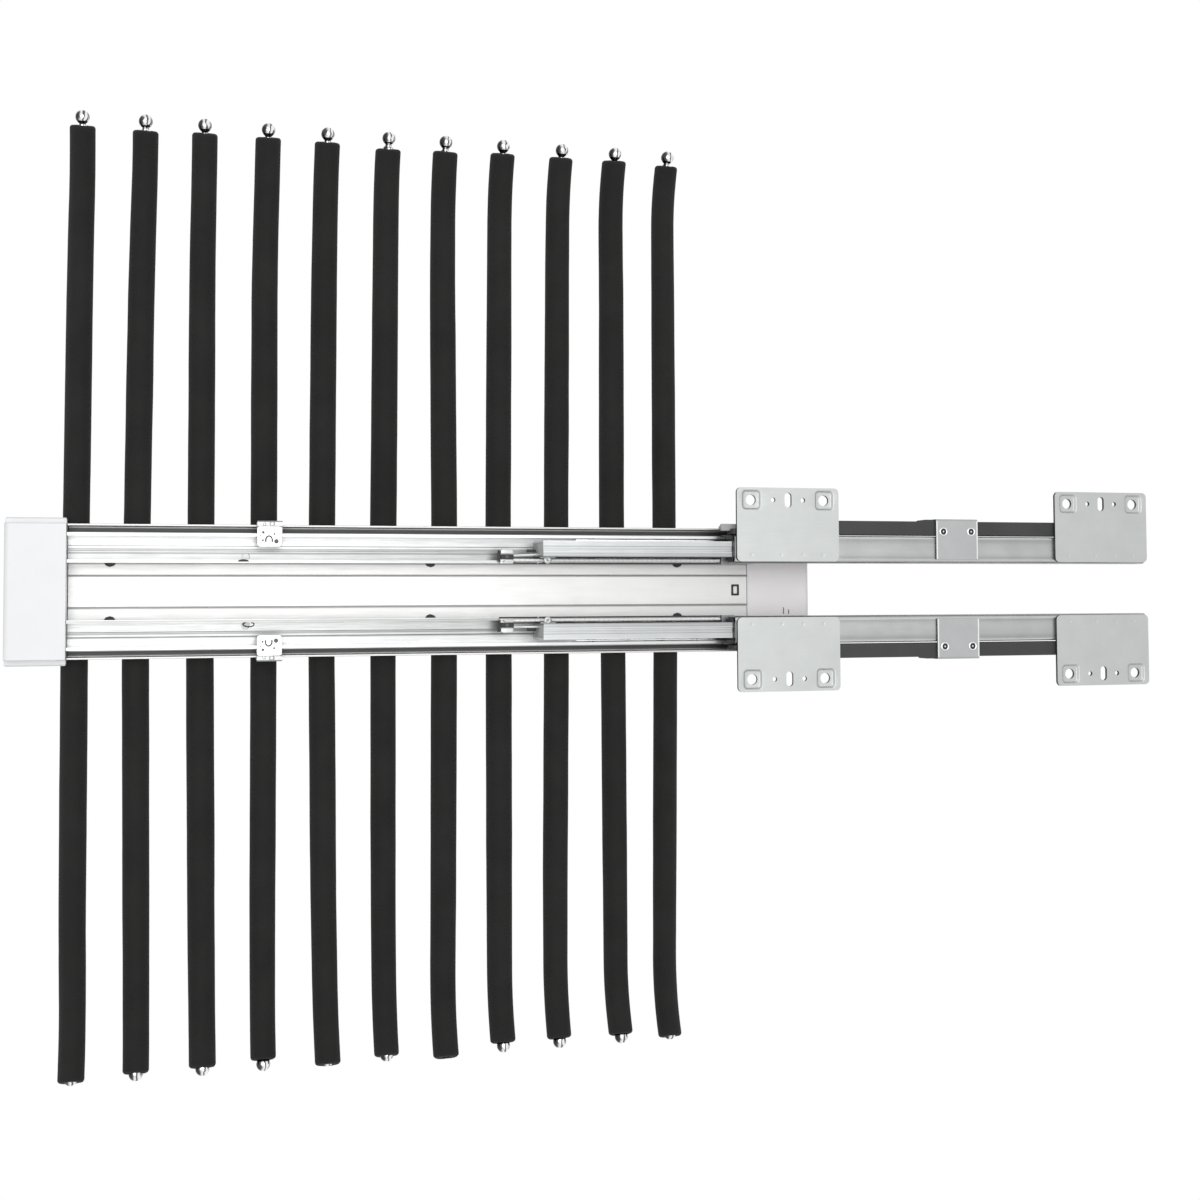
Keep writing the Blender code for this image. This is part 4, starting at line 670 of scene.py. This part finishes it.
MATERIALS = {
    # the bands on the beam and rails are painted shade and highlight; the moving rails also get
    # painted shade along their trough
    "beam": rolled_metal(
        "anodised_aluminium", (0.610, 0.610, 0.603), (0.635, 0.635, 0.630), 0.42, 0.5,
        bands_mm=BEAM_SHADE_BANDS_MM, above_floor=True, shift_mm=BEAM_SHIFT_MM),
    "moving": rolled_metal(
        "zinc_plated_rail_a", (0.565, 0.575, 0.575), (0.615, 0.625, 0.625), 0.30, 0.42,
        bands_mm=MOVING_SHADE_BANDS_MM, shift_mm=MOVING_SHIFT_MM, fade=TROUGH_PAINTED_SHADE),
    "mid": rolled_metal(
        "zinc_plated_rail_b", (0.455, 0.468, 0.468), (0.505, 0.518, 0.518), 0.30, 0.42,
        bands_mm=MID_SHADE_BANDS_MM),
    "fixed": rolled_metal(
        "zinc_plated_rail_c", (0.50, 0.51, 0.508), (0.56, 0.57, 0.568), 0.30, 0.42,
        bands_mm=FIXED_SHADE_BANDS_MM),
    "plate": rolled_metal(
        "zinc_plated_sheet", (0.475, 0.492, 0.487), (0.505, 0.522, 0.517), 0.45, 0.55),
    "bracket": rolled_metal(
        "zinc_plated_strip", (0.40, 0.41, 0.412), (0.43, 0.44, 0.442), 0.45, 0.55),
    # painted shade for side faces turned away from the light
    "edge": rolled_metal("painted_side_shade", (0.05, 0.05, 0.05), (0.10, 0.10, 0.10), 0.5, 0.6),
    "bright": rolled_metal("bright_steel", (0.80, 0.81, 0.82), (0.88, 0.89, 0.90), 0.20, 0.30),
    "zinc": rolled_metal(
        "zinc_casting", (0.28, 0.285, 0.285), (0.50, 0.505, 0.505), 0.28, 0.40, CAST),
    "wire": rolled_metal("spring_wire", (0.62, 0.62, 0.62), (0.72, 0.72, 0.72), 0.25, 0.35, CAST),
    "clip": rolled_metal(
        "hammered_clip", (0.48, 0.49, 0.49), (0.72, 0.73, 0.73), 0.25, 0.45, CAST),
    # grey for the mid rail's hollow front: painted shade
    "hollow_shade": plastic("grey_hollow_shade", (0.50, 0.51, 0.51), (0.60, 0.61, 0.61), 0.5),
    "pale": plastic("pale_tube", (0.92, 0.92, 0.92), (0.95, 0.95, 0.95), 0.35, 0.00001),
    "tongue": plastic("grey_tongue", (0.36, 0.36, 0.36), (0.44, 0.44, 0.44), 0.4),
    "shade": plastic("grey_shade", (0.06, 0.06, 0.06), (0.12, 0.12, 0.12), 0.5),
    "chrome": chrome_material(),
    "foam": foam_material(),
    # the cap's bands are painted shade lines along its rims' creases
    "cap": plastic("white_cap", (0.85, 0.855, 0.87), (0.875, 0.88, 0.895), 0.42,
                   bands_mm=CAP_SHADE_BANDS_MM),
    "white": plastic("white_plastic", (0.84, 0.86, 0.88), (0.88, 0.90, 0.92), 0.42),
    "grey": plastic("grey_plastic", (0.90, 0.875, 0.88), (0.94, 0.915, 0.92), 0.45),
    "dark": plastic("dark_plastic", (0.024, 0.024, 0.025), (0.034, 0.034, 0.035), 0.5, 0.00003),
    # black for the plastic seen through the rivets and the buffers, and painted shade for holes,
    # slots and gaps
    "black": plastic("black_plastic_and_painted_shade", (0.006, 0.006, 0.006), (0.009, 0.009, 0.009), 0.5, 0.00003),
}
NODE_MATERIALS = (
    ("beam", "beam"), ("front_cap", "cap"), ("rear_cap", "grey"), ("hanger_rod", "chrome"),
    ("moving_rail", "moving"), ("mid_rail", "mid"), ("fixed_rail", "fixed"),
    ("mounting_plate", "plate"), ("damper_housing", "dark"), ("damper_bracket", "bracket"),
    ("damper_trigger", "tongue"), ("latch_spring", "bright"), ("latch", "zinc"),
    ("ball_cage", "bright"), ("foam_sleeve", "foam"),
)
SOFT_EDGES = (
    ("beam", 0.00025), ("front_cap", 0.0008), ("rear_cap", 0.0005), ("moving_rail", 0.0002),
    ("mid_rail", 0.00025), ("fixed_rail", 0.00025), ("damper_housing", 0.0004),
    ("damper_trigger", 0.0004),
)


def dress_nodes():
    """Give each CAD node its material, and the larger ones soft edges."""
    for node, piece in NODES.items():
        key = next(key for start, key in NODE_MATERIALS if node.startswith(start))
        piece.data.materials.clear()
        piece.data.materials.append(MATERIALS[key])
        for start, width in SOFT_EDGES:
            if node.startswith(start):
                soften(piece, width, weld=True)


# Rods and foam sleeves

def arm_frame(sign, along):
    """An arm's middle line at a place: point with x at zero, direction, upward normal."""
    angle = max(0.0, along - ARM_STRAIGHT) / TIP_BEND_RADIUS
    y = min(along, ARM_STRAIGHT) + TIP_BEND_RADIUS * math.sin(angle)
    z = ROD_HEIGHT + TIP_BEND_RADIUS * (1 - math.cos(angle))
    return (Vector((0, sign * y, z)), Vector((0, sign * math.cos(angle), math.sin(angle))),
            Vector((0, -sign * math.sin(angle), math.cos(angle))))


def smooth_step(value):
    """Ease from 0 to 1."""
    value = min(1.0, max(0.0, value))
    return value * value * (3 - 2 * value)


def arm_shift(number, side, along):
    """How far an arm's own line is from its place in the CAD."""
    shift, drift, tip = ARMS_MM[side][number][:3]
    return MM * (shift + drift * (along - DRIFT_START) / DRIFT_SPAN
                 + tip * smooth_step((along - TIP_START) / TIP_SPAN))


def rod_x(number, side, along):
    """Where a rod lies: straight in the beam's holes, then eased to its arm's own line."""
    eased = smooth_step((along - BEAM_HALF) / (EASED_FROM - BEAM_HALF))
    return FIRST_ROD + number * ROD_PITCH + eased * arm_shift(number, side, along)


def rod_profile():
    """Places and radii along one half of a rod, from inside the beam to the ball's pole."""
    places = [ROD_INSIDE, BEAM_HALF, *evenly(BEAM_HALF, EASED_FROM, 6), ROD_MIDWAY, ARM_STRAIGHT,
              *evenly(ARM_STRAIGHT, ROD_END, 8)]
    profile = [(place, ROD_RADIUS) for place in places]
    profile += [(SHOULDER + place, radius) for place, radius in SHOULDER_PROFILE]
    profile.append((BALL_START - HAIR, NECK_RADIUS))
    for angle in evenly(math.asin(NECK_RADIUS / BALL_RADIUS), math.pi, 14)[:-1]:
        profile.append((BALL_MIDDLE - BALL_RADIUS * math.cos(angle),
                        BALL_RADIUS * math.sin(angle)))
    return profile + [(ROD_HALF, 0.0)]


def make_rod(number):
    """Chrome rod through the beam, with turned-up ends, necks and balls."""
    rings = []
    for side, sign in SIDES:
        half = []
        for along, radius in rod_profile():
            point, _, up = arm_frame(sign, along)
            point.x = rod_x(number, side, along)
            half.append(ring_about(point, Vector((1, 0, 0)), up, radius, ROD_SIDES))
        rings = half[::-1] if sign > 0 else rings + half
    name = f"rod_{number + 1:02d}"
    add_solid(name, [(rings, "poles")], "chrome", "rack", "chrome_steel", f"hanger_{name}",
              sharp_degrees=50)


def bore_at_ball(place):
    """Radius of a sleeve's bore where it runs over the rod's ball or before it."""
    off = min(BALL_RADIUS, max(0.0, place - BALL_MIDDLE))
    return max(NECK_BORE, math.sqrt(BALL_RADIUS ** 2 - off ** 2) + BALL_GAP)


def sleeve_profile(end):
    """Places and radii along a sleeve: outside, end face, then back through the bore."""
    last = end - SLEEVE_ROUNDING
    outside = [(SLEEVE_START, BORE_RADIUS), (SLEEVE_START, SLEEVE_RADIUS - SLEEVE_CHAMFER),
               (SLEEVE_START + SLEEVE_CHAMFER, SLEEVE_RADIUS), (SLEEVE_SKIN_START, SLEEVE_RADIUS)]
    outside += [(place, SLEEVE_RADIUS) for place in evenly(SLEEVE_SKIN_START, last, 46)]
    outside += [(last + SLEEVE_ROUNDING * math.sin(angle),
                 SLEEVE_RADIUS - SLEEVE_ROUNDING * (1 - math.cos(angle)))
                for angle in map(math.radians, evenly(0, 90, 5))]
    if end > BALL_BACK:
        mouth = bore_at_ball(end)
        inside = [(place, bore_at_ball(place)) for place in evenly(end, BALL_BACK, 5)]
        inside.append((BORE_BEHIND_BALL, BORE_RADIUS))
    elif end > SHOULDER + 2 * HAIR:
        mouth = NECK_BORE
        inside = [(SHOULDER + HAIR, mouth), (SHOULDER - HAIR, BORE_RADIUS)]
    else:
        mouth = BORE_RADIUS - HAIR
        inside = []
    face = SLEEVE_RADIUS - SLEEVE_ROUNDING
    ends = [(end + HAIR, (face + mouth) / 2), (end, mouth + 3 * HAIR)]
    if not inside or end - 2 * HAIR > inside[0][0]:
        ends.append((end - HAIR, mouth))
    return outside + ends + inside + [(place, BORE_RADIUS) for place in BORE_PLACES]


def skin_noise(angle, along, seed, round_scale, along_scale):
    """Noise over a sleeve's skin."""
    return noise.noise(Vector((round_scale * math.cos(angle), along * along_scale,
                               round_scale * math.sin(angle))) + seed)


def make_sleeve(number, side, sign):
    """Foam sleeve of one arm, slightly uneven, as cut foam is."""
    end_mm, width_share = ARMS_MM[side][number][3:]
    end = end_mm * MM
    seed = Vector((number * 3.7, sign * 11.0, 0.0))
    tilt = END_TILT * noise.noise(seed + Vector((5.1, 0, 0)))
    roll = 6 * noise.noise(seed + Vector((0, 7.3, 0)))
    rings = []
    for along, radius in sleeve_profile(end):
        point, direction, up = arm_frame(sign, along)
        share = min(1.0, max(0.0, (radius - BORE_RADIUS) / (SLEEVE_RADIUS - BORE_RADIUS)))
        own_line = FIRST_ROD + number * ROD_PITCH + arm_shift(number, side, along)
        point.x = rod_x(number, side, along) * (1 - share) + own_line * share
        near_end = smooth_step((along - end + END_REACH) / END_REACH)
        taper = FOAM_TAPER * smooth_step((along - TAPER_START) / TAPER_SPAN)
        width = width_share * (FOAM_WIDTH - taper)
        ring = []
        for i in range(SLEEVE_SIDES):
            angle = math.tau * i / SLEEVE_SIDES
            out = Vector((math.cos(angle), 0, 0)) + up * math.sin(angle)
            grain = skin_noise(angle, along, seed, 3, 120)
            uneven = 1 + FOAM_WAVE * skin_noise(angle, along, seed, 1, 30) + FOAM_GRAIN * grain
            slant = near_end * radius / SLEEVE_RADIUS * (
                tilt * math.cos(angle + roll) + END_GRAIN * grain + END_SLANT * math.sin(angle))
            ring.append(point + out * radius * (1 + (width * uneven - 1) * share)
                        + direction * slant)
        rings.append(ring)
    name = f"sleeve_{side}_{number + 1:02d}"
    piece = add_solid(name, [(rings, "joined")], "foam", "rack", "black_foam", f"foam_{name}",
                      sharp_degrees=60)


# Mounting plates and damper brackets

def rim(bm, points, height):
    """Closed ring of edges at one height."""
    verts = [bm.verts.new((x, y, height)) for x, y in points]
    edges = [bm.edges.new((verts[i], verts[(i + 1) % len(verts)])) for i in range(len(verts))]
    return verts, edges


def dish(bm, rings):
    """Faces down (points, height) rings, with the outer edges and the inner corners and edges."""
    rims = [rim(bm, points, height) for points, height in rings]
    for (first, _), (second, _) in zip(rims, rims[1:]):
        for i in range(len(first)):
            j = (i + 1) % len(first)
            bm.faces.new((first[i], first[j], second[j], second[i]))
    return rims[0][1], *rims[-1]


def make_plate(end, side, sign):
    """Pressed mounting plate with sunk pads, screw holes, slot, pilot holes and clinch marks."""
    node = f"mounting_plate_{end}_{side}"
    low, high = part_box(node)
    top = high.z
    outer_y, inner_y = (high.y, low.y) if sign > 0 else (low.y, high.y)
    hole_line = outer_y - sign * HOLE_FROM_EDGE
    middle = (low.x + high.x) / 2
    bm = bmesh.new()
    field = rim(bm, rounded_box((low.x, low.y), (high.x, high.y), PLATE_CORNER), top)[1]
    for x in (low.x + HOLE_FROM_END, high.x - HOLE_FROM_END):
        pad = []
        for step in range(PAD_STEPS + 1):
            share = step / PAD_STEPS
            half = PAD_HALF - PAD_SLOPE * share
            corner = PAD_CORNER - PAD_CORNER_LOSS * share
            pad.append((box_about((x, hole_line), (half, half), corner, 4),
                        top - PAD_DEPTH * smooth_step(share)))
        outer_edges, _, inner_edges = dish(bm, pad)
        field += outer_edges
        hole_edges = rim(bm, circle((x, hole_line), HOLE_RADIUS, 32), top - PAD_DEPTH)[1]
        bmesh.ops.triangle_fill(bm, edges=inner_edges + hole_edges, use_beauty=True)
    field += rim(bm, box_about((middle, hole_line), SLOT_HALVES, SLOT_CORNER, 8), top)[1]
    for x in (middle - PILOT_SPACING / 2, middle + PILOT_SPACING / 2):
        field += rim(bm, circle((x, hole_line), PILOT_RADIUS, 20), top)[1]
    for share in CLINCH_PLACES:
        centre = (low.x + share * (high.x - low.x), inner_y + sign * CLINCH_FROM_EDGE)
        outer_edges, corners, _ = dish(bm, [(circle(centre, radius, 16), top - depth)
                                            for radius, depth in CLINCH_PROFILE])
        field += outer_edges
        bm.faces.new(corners)
    bmesh.ops.triangle_fill(bm, edges=field, use_beauty=True)
    bmesh.ops.recalc_face_normals(bm, faces=bm.faces)
    if sum(face.normal.z for face in bm.faces) < 0:
        bmesh.ops.reverse_faces(bm, faces=bm.faces)
    plate = add_piece(f"plate_{end}_{side}", smooth_mesh(node, bm), "plate", "slide_mounts",
                      "plate_steel", node)
    # the sheet's rim faces get the dark edge material: painted shade
    plate.data.materials.append(MATERIALS["edge"])
    sheet = plate.modifiers.new("sheet", "SOLIDIFY")
    sheet.thickness = PLATE_THICKNESS
    sheet.offset = -1.0
    sheet.material_offset_rim = 1
    soften(plate, 0.00035, 3)


def make_bracket(side, sign):
    """Damper bracket turned down outside, painted shade and highlight at its ends, two hollow
    rivets.
    """
    node = f"damper_bracket_{side}"
    low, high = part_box(node)
    inner, outer = (low.y, high.y) if sign > 0 else (-high.y, -low.y)
    top, under, bend = BRACKET_TOP, BRACKET_TOP - BRACKET_SHEET, BRACKET_BEND
    outline = [(inner, under), (inner, top),
               *arc((outer - bend, top - bend), (bend, bend), 90, 0, 6),
               (outer, BRACKET_BOTTOM), (outer - BRACKET_SHEET, BRACKET_BOTTOM),
               (outer - BRACKET_SHEET, under)]
    bracket = add_solid(f"bracket_{side}", [prism((low.x, high.x), outline, sign)], "bracket",
                        "slide_mounts", "plate_steel", node)
    # painted shade on the bracket's front and rear faces
    paint_faces(bracket, "edge", lambda normal: abs(normal.x) > 0.9)
    soften(bracket, 0.0002)
    # painted highlight: bright strips along the bracket's end edges
    edge_highlights = [block((x - HIGHLIGHT_HALF, x + HIGHLIGHT_HALF), (inner + HIGHLIGHT_HALF, outer - BRACKET_SHEET),
                  HIGHLIGHT_HEIGHTS, sign) for x in (low.x + HIGHLIGHT_FROM_END, high.x - HIGHLIGHT_FROM_END)]
    add_solid(f"bracket_edge_highlights_{side}", edge_highlights, "bright", "slide_mounts", "plate_steel")
    middle = (low.x + high.x) / 2
    for label, off in ((f"{side}_1", -RIVET_HALF_SPACING), (f"{side}_2", RIVET_HALF_SPACING)):
        place = (middle + off, sign * RIVET_LINE, top)
        ring = turned("Z", place, RIVET_RING, 32, "joined")
        core = turned("Z", place, RIVET_CORE, 32, "joined")
        pin = turned("Z", place, RIVET_PIN, 16)
        add_solid(f"rivet_{label}", [ring, pin], "bright", "slide_mounts", "bright_steel")
        add_solid(f"rivet_core_{label}", [core], "black", "slide_mounts", "dark_plastic")


# Latches, springs and guides

def coil_points(start, end, sign, radius):
    """Middle line of a coil along X."""
    points = []
    for x in (start, *evenly(start, end, int((end - start) / CURL_PITCH * CURL_STEPS))):
        angle = math.tau * (x + 1.0) / CURL_PITCH
        points.append((x, sign * (SPRING_AXIS + radius * math.cos(angle)),
                       SPRING_HEIGHT + radius * math.sin(angle)))
    return points


def make_spring(side, sign):
    """Fine spring from the latch's head to the anchor, over a pale guide tube on the mid rail."""
    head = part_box(f"latch_{side}")[0].x + LATCH_HEAD
    end = TUBE_END
    body = f"mid_slide_{side}"
    coil = coil_points(head + HAIR, end - 3 * HAIR, sign, SPRING_RADIUS - WIRE_RADIUS)
    spring = add_solid(f"spring_{side}", [sweep(coil, WIRE_RADIUS, 6)], "wire", body,
                       "bright_steel", f"latch_spring_{side}", sharp_degrees=60)
    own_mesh(spring)
    profile = ((TUBE_START, TUBE_BORE), (TUBE_START, TUBE_RADIUS), (end, TUBE_RADIUS),
               (end, TUBE_BORE))
    tube = turned("X", (0, sign * SPRING_AXIS, SPRING_HEIGHT), profile, 20, "joined")
    add_solid(f"spring_tube_{side}", [tube], "pale", body, "white_plastic")


def make_guide(side, sign):
    """Guide ear over the spring; painted shade in its side slots and the mid rail's hollow front.
    """
    body = f"mid_slide_{side}"
    centre = (MID_FRONT + EAR_FROM_FRONT, sign * EAR_ACROSS, 0)
    ear = turned("Z", centre, EAR_PROFILE, 32, "poles")
    add_solid(f"guide_ear_{side}", [ear], "zinc", body, "bright_steel")
    # painted shade in the slots and in the mid rail's hollow front
    strips = [block(STRIP_ENDS, across, heights, sign) for across, heights in SLOT_SHADE_STRIPS]
    add_solid(f"slot_shade_strip_{side}", strips, "black", body, "dark_plastic")
    add_solid(f"mid_rail_hollow_shade_{side}", [block(*HOLLOW_SHADE_BLOCK, sign)], "hollow_shade", body, "grey_plastic")


def make_latch(side, sign):
    """Latch before the mid rail: chambered head, guide arm, coil pin, and painted shade."""
    node = f"latch_{side}"
    low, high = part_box(node)
    tip, bottom, top = low.x, low.z, high.z
    out = LATCH_OUT[side]

    def standing(parts):
        return [upright((bottom + above, top - below), moved(outline, tip, out), sign)
                for outline, above, below in parts]

    base = upright((bottom, bottom + LATCH_FLOOR), moved(LATCH_BASE, tip, out), sign)
    near, far = (ARM_SPREAD * out + across for across in ARM_AT_HEAD)
    start = tip + ARM_START
    arm = upright((bottom + ARM_LOW, top), ((start, near), (ARM_END, ARM_AT_END[0]),
                                            (ARM_END, ARM_AT_END[1]), (start, far)), sign)
    head = add_solid(f"latch_head_{side}", [base, *standing(LATCH_CHAMBERS), arm], "zinc", node,
                     "bright_steel", node, sharp_degrees=30)
    # painted shade on the latch head's front faces
    paint_faces(head, "edge", lambda normal: normal.x < -0.6)
    soften(head, 0.00018)

    # painted shade: dark strips and a bar in the gaps between latch, spring and mid rail
    strips = [block((tip + start, STRIPS_END), across, (bottom + low_z, bottom + high_z), sign)
              for start, across, (low_z, high_z) in LATCH_GAP_SHADES]
    shade_bar = block(SHADE_BAR_ENDS, SHADE_BAR_ACROSS, (bottom + SHADE_BAR_ABOVE, top - SHADE_BAR_BELOW), sign)
    gap_shade = add_solid(f"latch_gap_shade_{side}", [*standing(LATCH_HEAD_SHADES), *strips, shade_bar],
                       "black", node, "dark_plastic", sharp_degrees=30)
    soften(gap_shade, 0.0002)

    centre = (tip + LATCH_RIVET[0], sign * (out + LATCH_RIVET[1]), top)
    rivet = turned("Z", centre, LATCH_RIVET_PROFILE, 20)
    add_solid(f"latch_rivet_{side}", [rivet], "shade", node, "bright_steel")
    pin_start = tip + LATCH_HEAD - PIN_IN_HEAD
    profile = ((pin_start, 0.0), (pin_start, PIN_RADIUS), (PIN_SHOULDER, PIN_RADIUS),
               (PIN_TIP, PIN_TIP_RADIUS), (PIN_TIP, 0.0))
    pin = turned("X", (0, sign * SPRING_AXIS, SPRING_HEIGHT), profile, 20, "poles")
    add_solid(f"latch_pin_{side}", [pin], "pale", node, "white_plastic", sharp_degrees=60)


# Stop clips, beam, caps and buffers

def make_clip(side, sign):
    """Stop clip's cover with lumps over the beam's side, and its pressed tongue and dimples in
    painted shade.
    """
    outline = moved(rounded_box(CLIP_LOW, CLIP_HIGH, CLIP_CORNER), CLIP_MIDDLE, 0)
    lumps = [turned("Z", (CLIP_MIDDLE + x, sign * y, LUMP_HEIGHT), profile, sides)
             for x, y, sides, profile in LUMPS]
    cover = add_solid(f"clip_cover_{side}", [upright(CLIP_HEIGHTS, outline, sign), *lumps],
                      "clip", "rack", "galvanised_steel")
    soften(cover, 0.00035, 3)
    level = CLIP_HEIGHTS[1]
    # the dimples and the tongue's outline are dark grey: painted shade of the pressed hollows and
    # the cut
    dimples = [turned("Z", (CLIP_MIDDLE + x, sign * y, level),
                      [(depth, share * radius) for depth, share in DIMPLE_PROFILE], 16)
               for x, y, radius in DIMPLES]
    arch = moved(arc(ARCH_CENTRE, ARCH_RADII, -20, 200, 11), CLIP_MIDDLE, 0)
    tongue = sweep([(x, sign * y, level + HAIR) for x, y in arch], ARCH_WIRE, 8)
    add_solid(f"clip_mark_shades_{side}", [*dimples, tongue], "shade", "rack", "dark_plastic")


def make_hole_shades(side, sign):
    """Painted shade: black discs in the beam's access holes, a dark rim at the moving rail's
    keeper hole.
    """
    low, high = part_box("beam")
    # black discs and dark rims: painted shade inside the holes
    shades = [turned("Z", (low.x + share * (high.x - low.x), sign * ACCESS_LINE, 0),
                     ACCESS_PROFILE, 24, "poles") for share in ACCESS_PLACES]
    if side == "left":
        shades.append(upright(MOON_HEIGHTS, arc(MOON_CENTRE, MOON_RADII, 0, 180, 15), sign))
    else:
        ring_shade = arc(RING_SHADE_CENTRE, RING_SHADE_RADII, -60, 240, 20)
        shades.append(sweep([(x, sign * y, RING_SHADE_HEIGHT) for x, y in ring_shade], RING_SHADE_WIRE, 6))
    add_solid(f"hole_shades_{side}", shades, "black", "rack", "dark_plastic")


def make_window_gap_shade():
    """Black ring round the window that the rear cap's tongue snaps into: painted shade of the gap.
    """
    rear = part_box("beam")[1].x - WINDOW_FROM_END
    rings = []
    for grow, height in WINDOW_RINGS:
        outline = rounded_box([place - grow for place in WINDOW_LOW],
                              [place + grow for place in WINDOW_HIGH], WINDOW_CORNER, 3)
        rings.append([(x, y, height) for x, y in moved(outline, rear, 0)])
    # painted shade in the gap round the rear cap's tongue
    add_solid("window_gap_shade", [(rings, "joined")], "black", "rack", "dark_plastic")


def make_front_cap_parts():
    """Web that closes the front cap behind its top, and the cap's rims beside the beam."""
    beam_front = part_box("beam")[0].x
    low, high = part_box("front_cap")
    web = block([beam_front - gap for gap in WEB_BEFORE_BEAM], (-WEB_HALF, WEB_HALF),
                (WEB_BOTTOM, high.z - WEB_BELOW_TOP))
    add_solid("front_cap_web", [web], "white", "rack", "white_plastic")
    near, far = CAP_RIM_ACROSS
    outline = rounded_box((low.x, near), (beam_front - CAP_RIM_GAP, far), CAP_RIM_CORNER)
    for side, sign in SIDES:
        cap_rim = add_solid(f"cap_rim_{side}", [upright(CAP_RIM_HEIGHTS, outline, sign)], "cap",
                            "rack", "white_plastic")
        soften(cap_rim, 0.0006, 3)


def make_rear_cap_parts():
    """Pale strip behind the beam's rear end as painted highlight, and two short marks on the rear
    cap's top.
    """
    beam_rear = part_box("beam")[1].x
    # painted highlight: a pale strip along the beam's rear edge
    strip = block([beam_rear + gap for gap in HIGHLIGHT_BEHIND_BEAM], (-REAR_HIGHLIGHT_HALF, REAR_HIGHLIGHT_HALF),
                  REAR_HIGHLIGHT_HEIGHTS)
    rear_highlight = add_solid("rear_edge_highlight", [strip], "white", "rack", "grey_plastic")
    soften(rear_highlight, 0.00015)
    marks = [block((x - MARK_HALF, x + MARK_HALF), (y - half, y + half), MARK_HEIGHTS)
             for x, y, half in MARKS]
    add_solid("rear_cap_marks", marks, "shade", "rack", "dark_plastic")


def make_buffer(side, sign):
    """Small black buffer and a dark strip of painted shade on the fixed rail's front end."""
    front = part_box(f"fixed_rail_{side}")[0].x
    outline = rounded_box((front - BUFFER_ENDS[0], BUFFER_ACROSS[0]),
                          (front - BUFFER_ENDS[1], BUFFER_ACROSS[1]), BUFFER_CORNER, 4)
    # painted shade: a thin dark strip across the rail's front end
    front_shade = block([front - gap for gap in FRONT_SHADE_ENDS], FRONT_SHADE_ACROSS, FRONT_SHADE_HEIGHTS, sign)
    buffer = add_solid(f"rail_buffer_{side}", [upright(BUFFER_HEIGHTS, outline, sign), front_shade],
                       "black", "slide_mounts", "dark_plastic")
    soften(buffer, 0.0003)


# Stage, lights and camera

def seen_by_camera_or_gloss(tree):
    """One where a ray comes from the camera, a gloss or a clear surface, zero elsewhere."""
    rays = add_node(tree, "LightPath").outputs
    seen = calculated(tree, "MAXIMUM", rays["Is Camera Ray"], rays["Is Glossy Ray"])
    return calculated(tree, "MAXIMUM", seen, rays["Is Transmission Ray"])


def make_stage():
    """Floor that looks white and takes the rack's shadow."""
    material, tree, shader = new_material("floor")
    set_inputs(shader, {"Base Color": FLOOR_COLOUR, "Roughness": 0.9})
    glow = add_node(tree, "Emission", {"Strength": 1.0})
    mix = add_node(tree, "MixShader")
    output = next(node for node in tree.nodes if node.type == "OUTPUT_MATERIAL")
    tree.links.new(seen_by_camera_or_gloss(tree), mix.inputs[0])
    tree.links.new(shader.outputs[0], mix.inputs[1])
    tree.links.new(glow.outputs[0], mix.inputs[2])
    tree.links.new(mix.outputs[0], output.inputs[0])
    bpy.ops.mesh.primitive_plane_add(size=FLOOR_SIZE, location=(0, 0, FLOOR_HEIGHT))
    floor = bpy.context.object
    floor.name = "floor"
    floor.data.materials.append(material)


def make_world():
    """White surroundings to the camera and in gloss, plain soft light otherwise."""
    world = bpy.data.worlds.new("studio")
    bpy.context.scene.world = world
    world.use_nodes = True
    tree = world.node_tree
    background = next(node for node in tree.nodes if node.type == "BACKGROUND")
    set_inputs(background, {"Color": (1.0, 1.0, 1.0, 1.0)})
    strength = spread(tree, seen_by_camera_or_gloss(tree), ROOM_LIGHT, 1.0, 0.0, 1.0)
    tree.links.new(strength, background.inputs["Strength"])


def make_lamp():
    """Square lamp above the rack."""
    light = bpy.data.lights.new("key", "AREA")
    light.size = KEY_SIZE
    light.energy = KEY_POWER
    lamp = bpy.data.objects.new("key", light)
    lamp.location = KEY_PLACE
    lamp.rotation_euler = (Vector(KEY_AIM) - Vector(KEY_PLACE)).to_track_quat("-Z", "Y").to_euler()
    bpy.context.scene.collection.objects.link(lamp)


def make_camera():
    """Camera above the rack, as the photograph was taken."""
    about_x, about_y, about_z = (math.radians(angle) for angle in CAMERA_TURN)
    turn = (Matrix.Rotation(about_y, 4, "Y") @ Matrix.Rotation(about_x, 4, "X")
            @ Matrix.Rotation(about_z, 4, "Z"))
    data = bpy.data.cameras.new("camera")
    data.sensor_width = SENSOR
    data.lens = LENS
    data.shift_y = -SHIFT_DOWN
    data.clip_start = NEAREST_SEEN
    camera = bpy.data.objects.new("camera", data)
    camera.matrix_world = Matrix.Translation(CAMERA_PLACE) @ turn
    bpy.context.scene.collection.objects.link(camera)
    bpy.context.scene.camera = camera


def main():
    bpy.context.scene.view_settings.view_transform = "Standard"
    dress_nodes()
    for number in range(ROD_COUNT):
        make_rod(number)
        for side, sign in SIDES:
            make_sleeve(number, side, sign)
    for side, sign in SIDES:
        make_plate("front", side, sign)
        make_plate("rear", side, sign)
        for make in (make_bracket, make_spring, make_guide, make_latch, make_clip,
                     make_hole_shades, make_buffer):
            make(side, sign)
    for make in (make_window_gap_shade, make_front_cap_parts, make_rear_cap_parts, make_stage,
                 make_world, make_lamp, make_camera):
        make()


main()
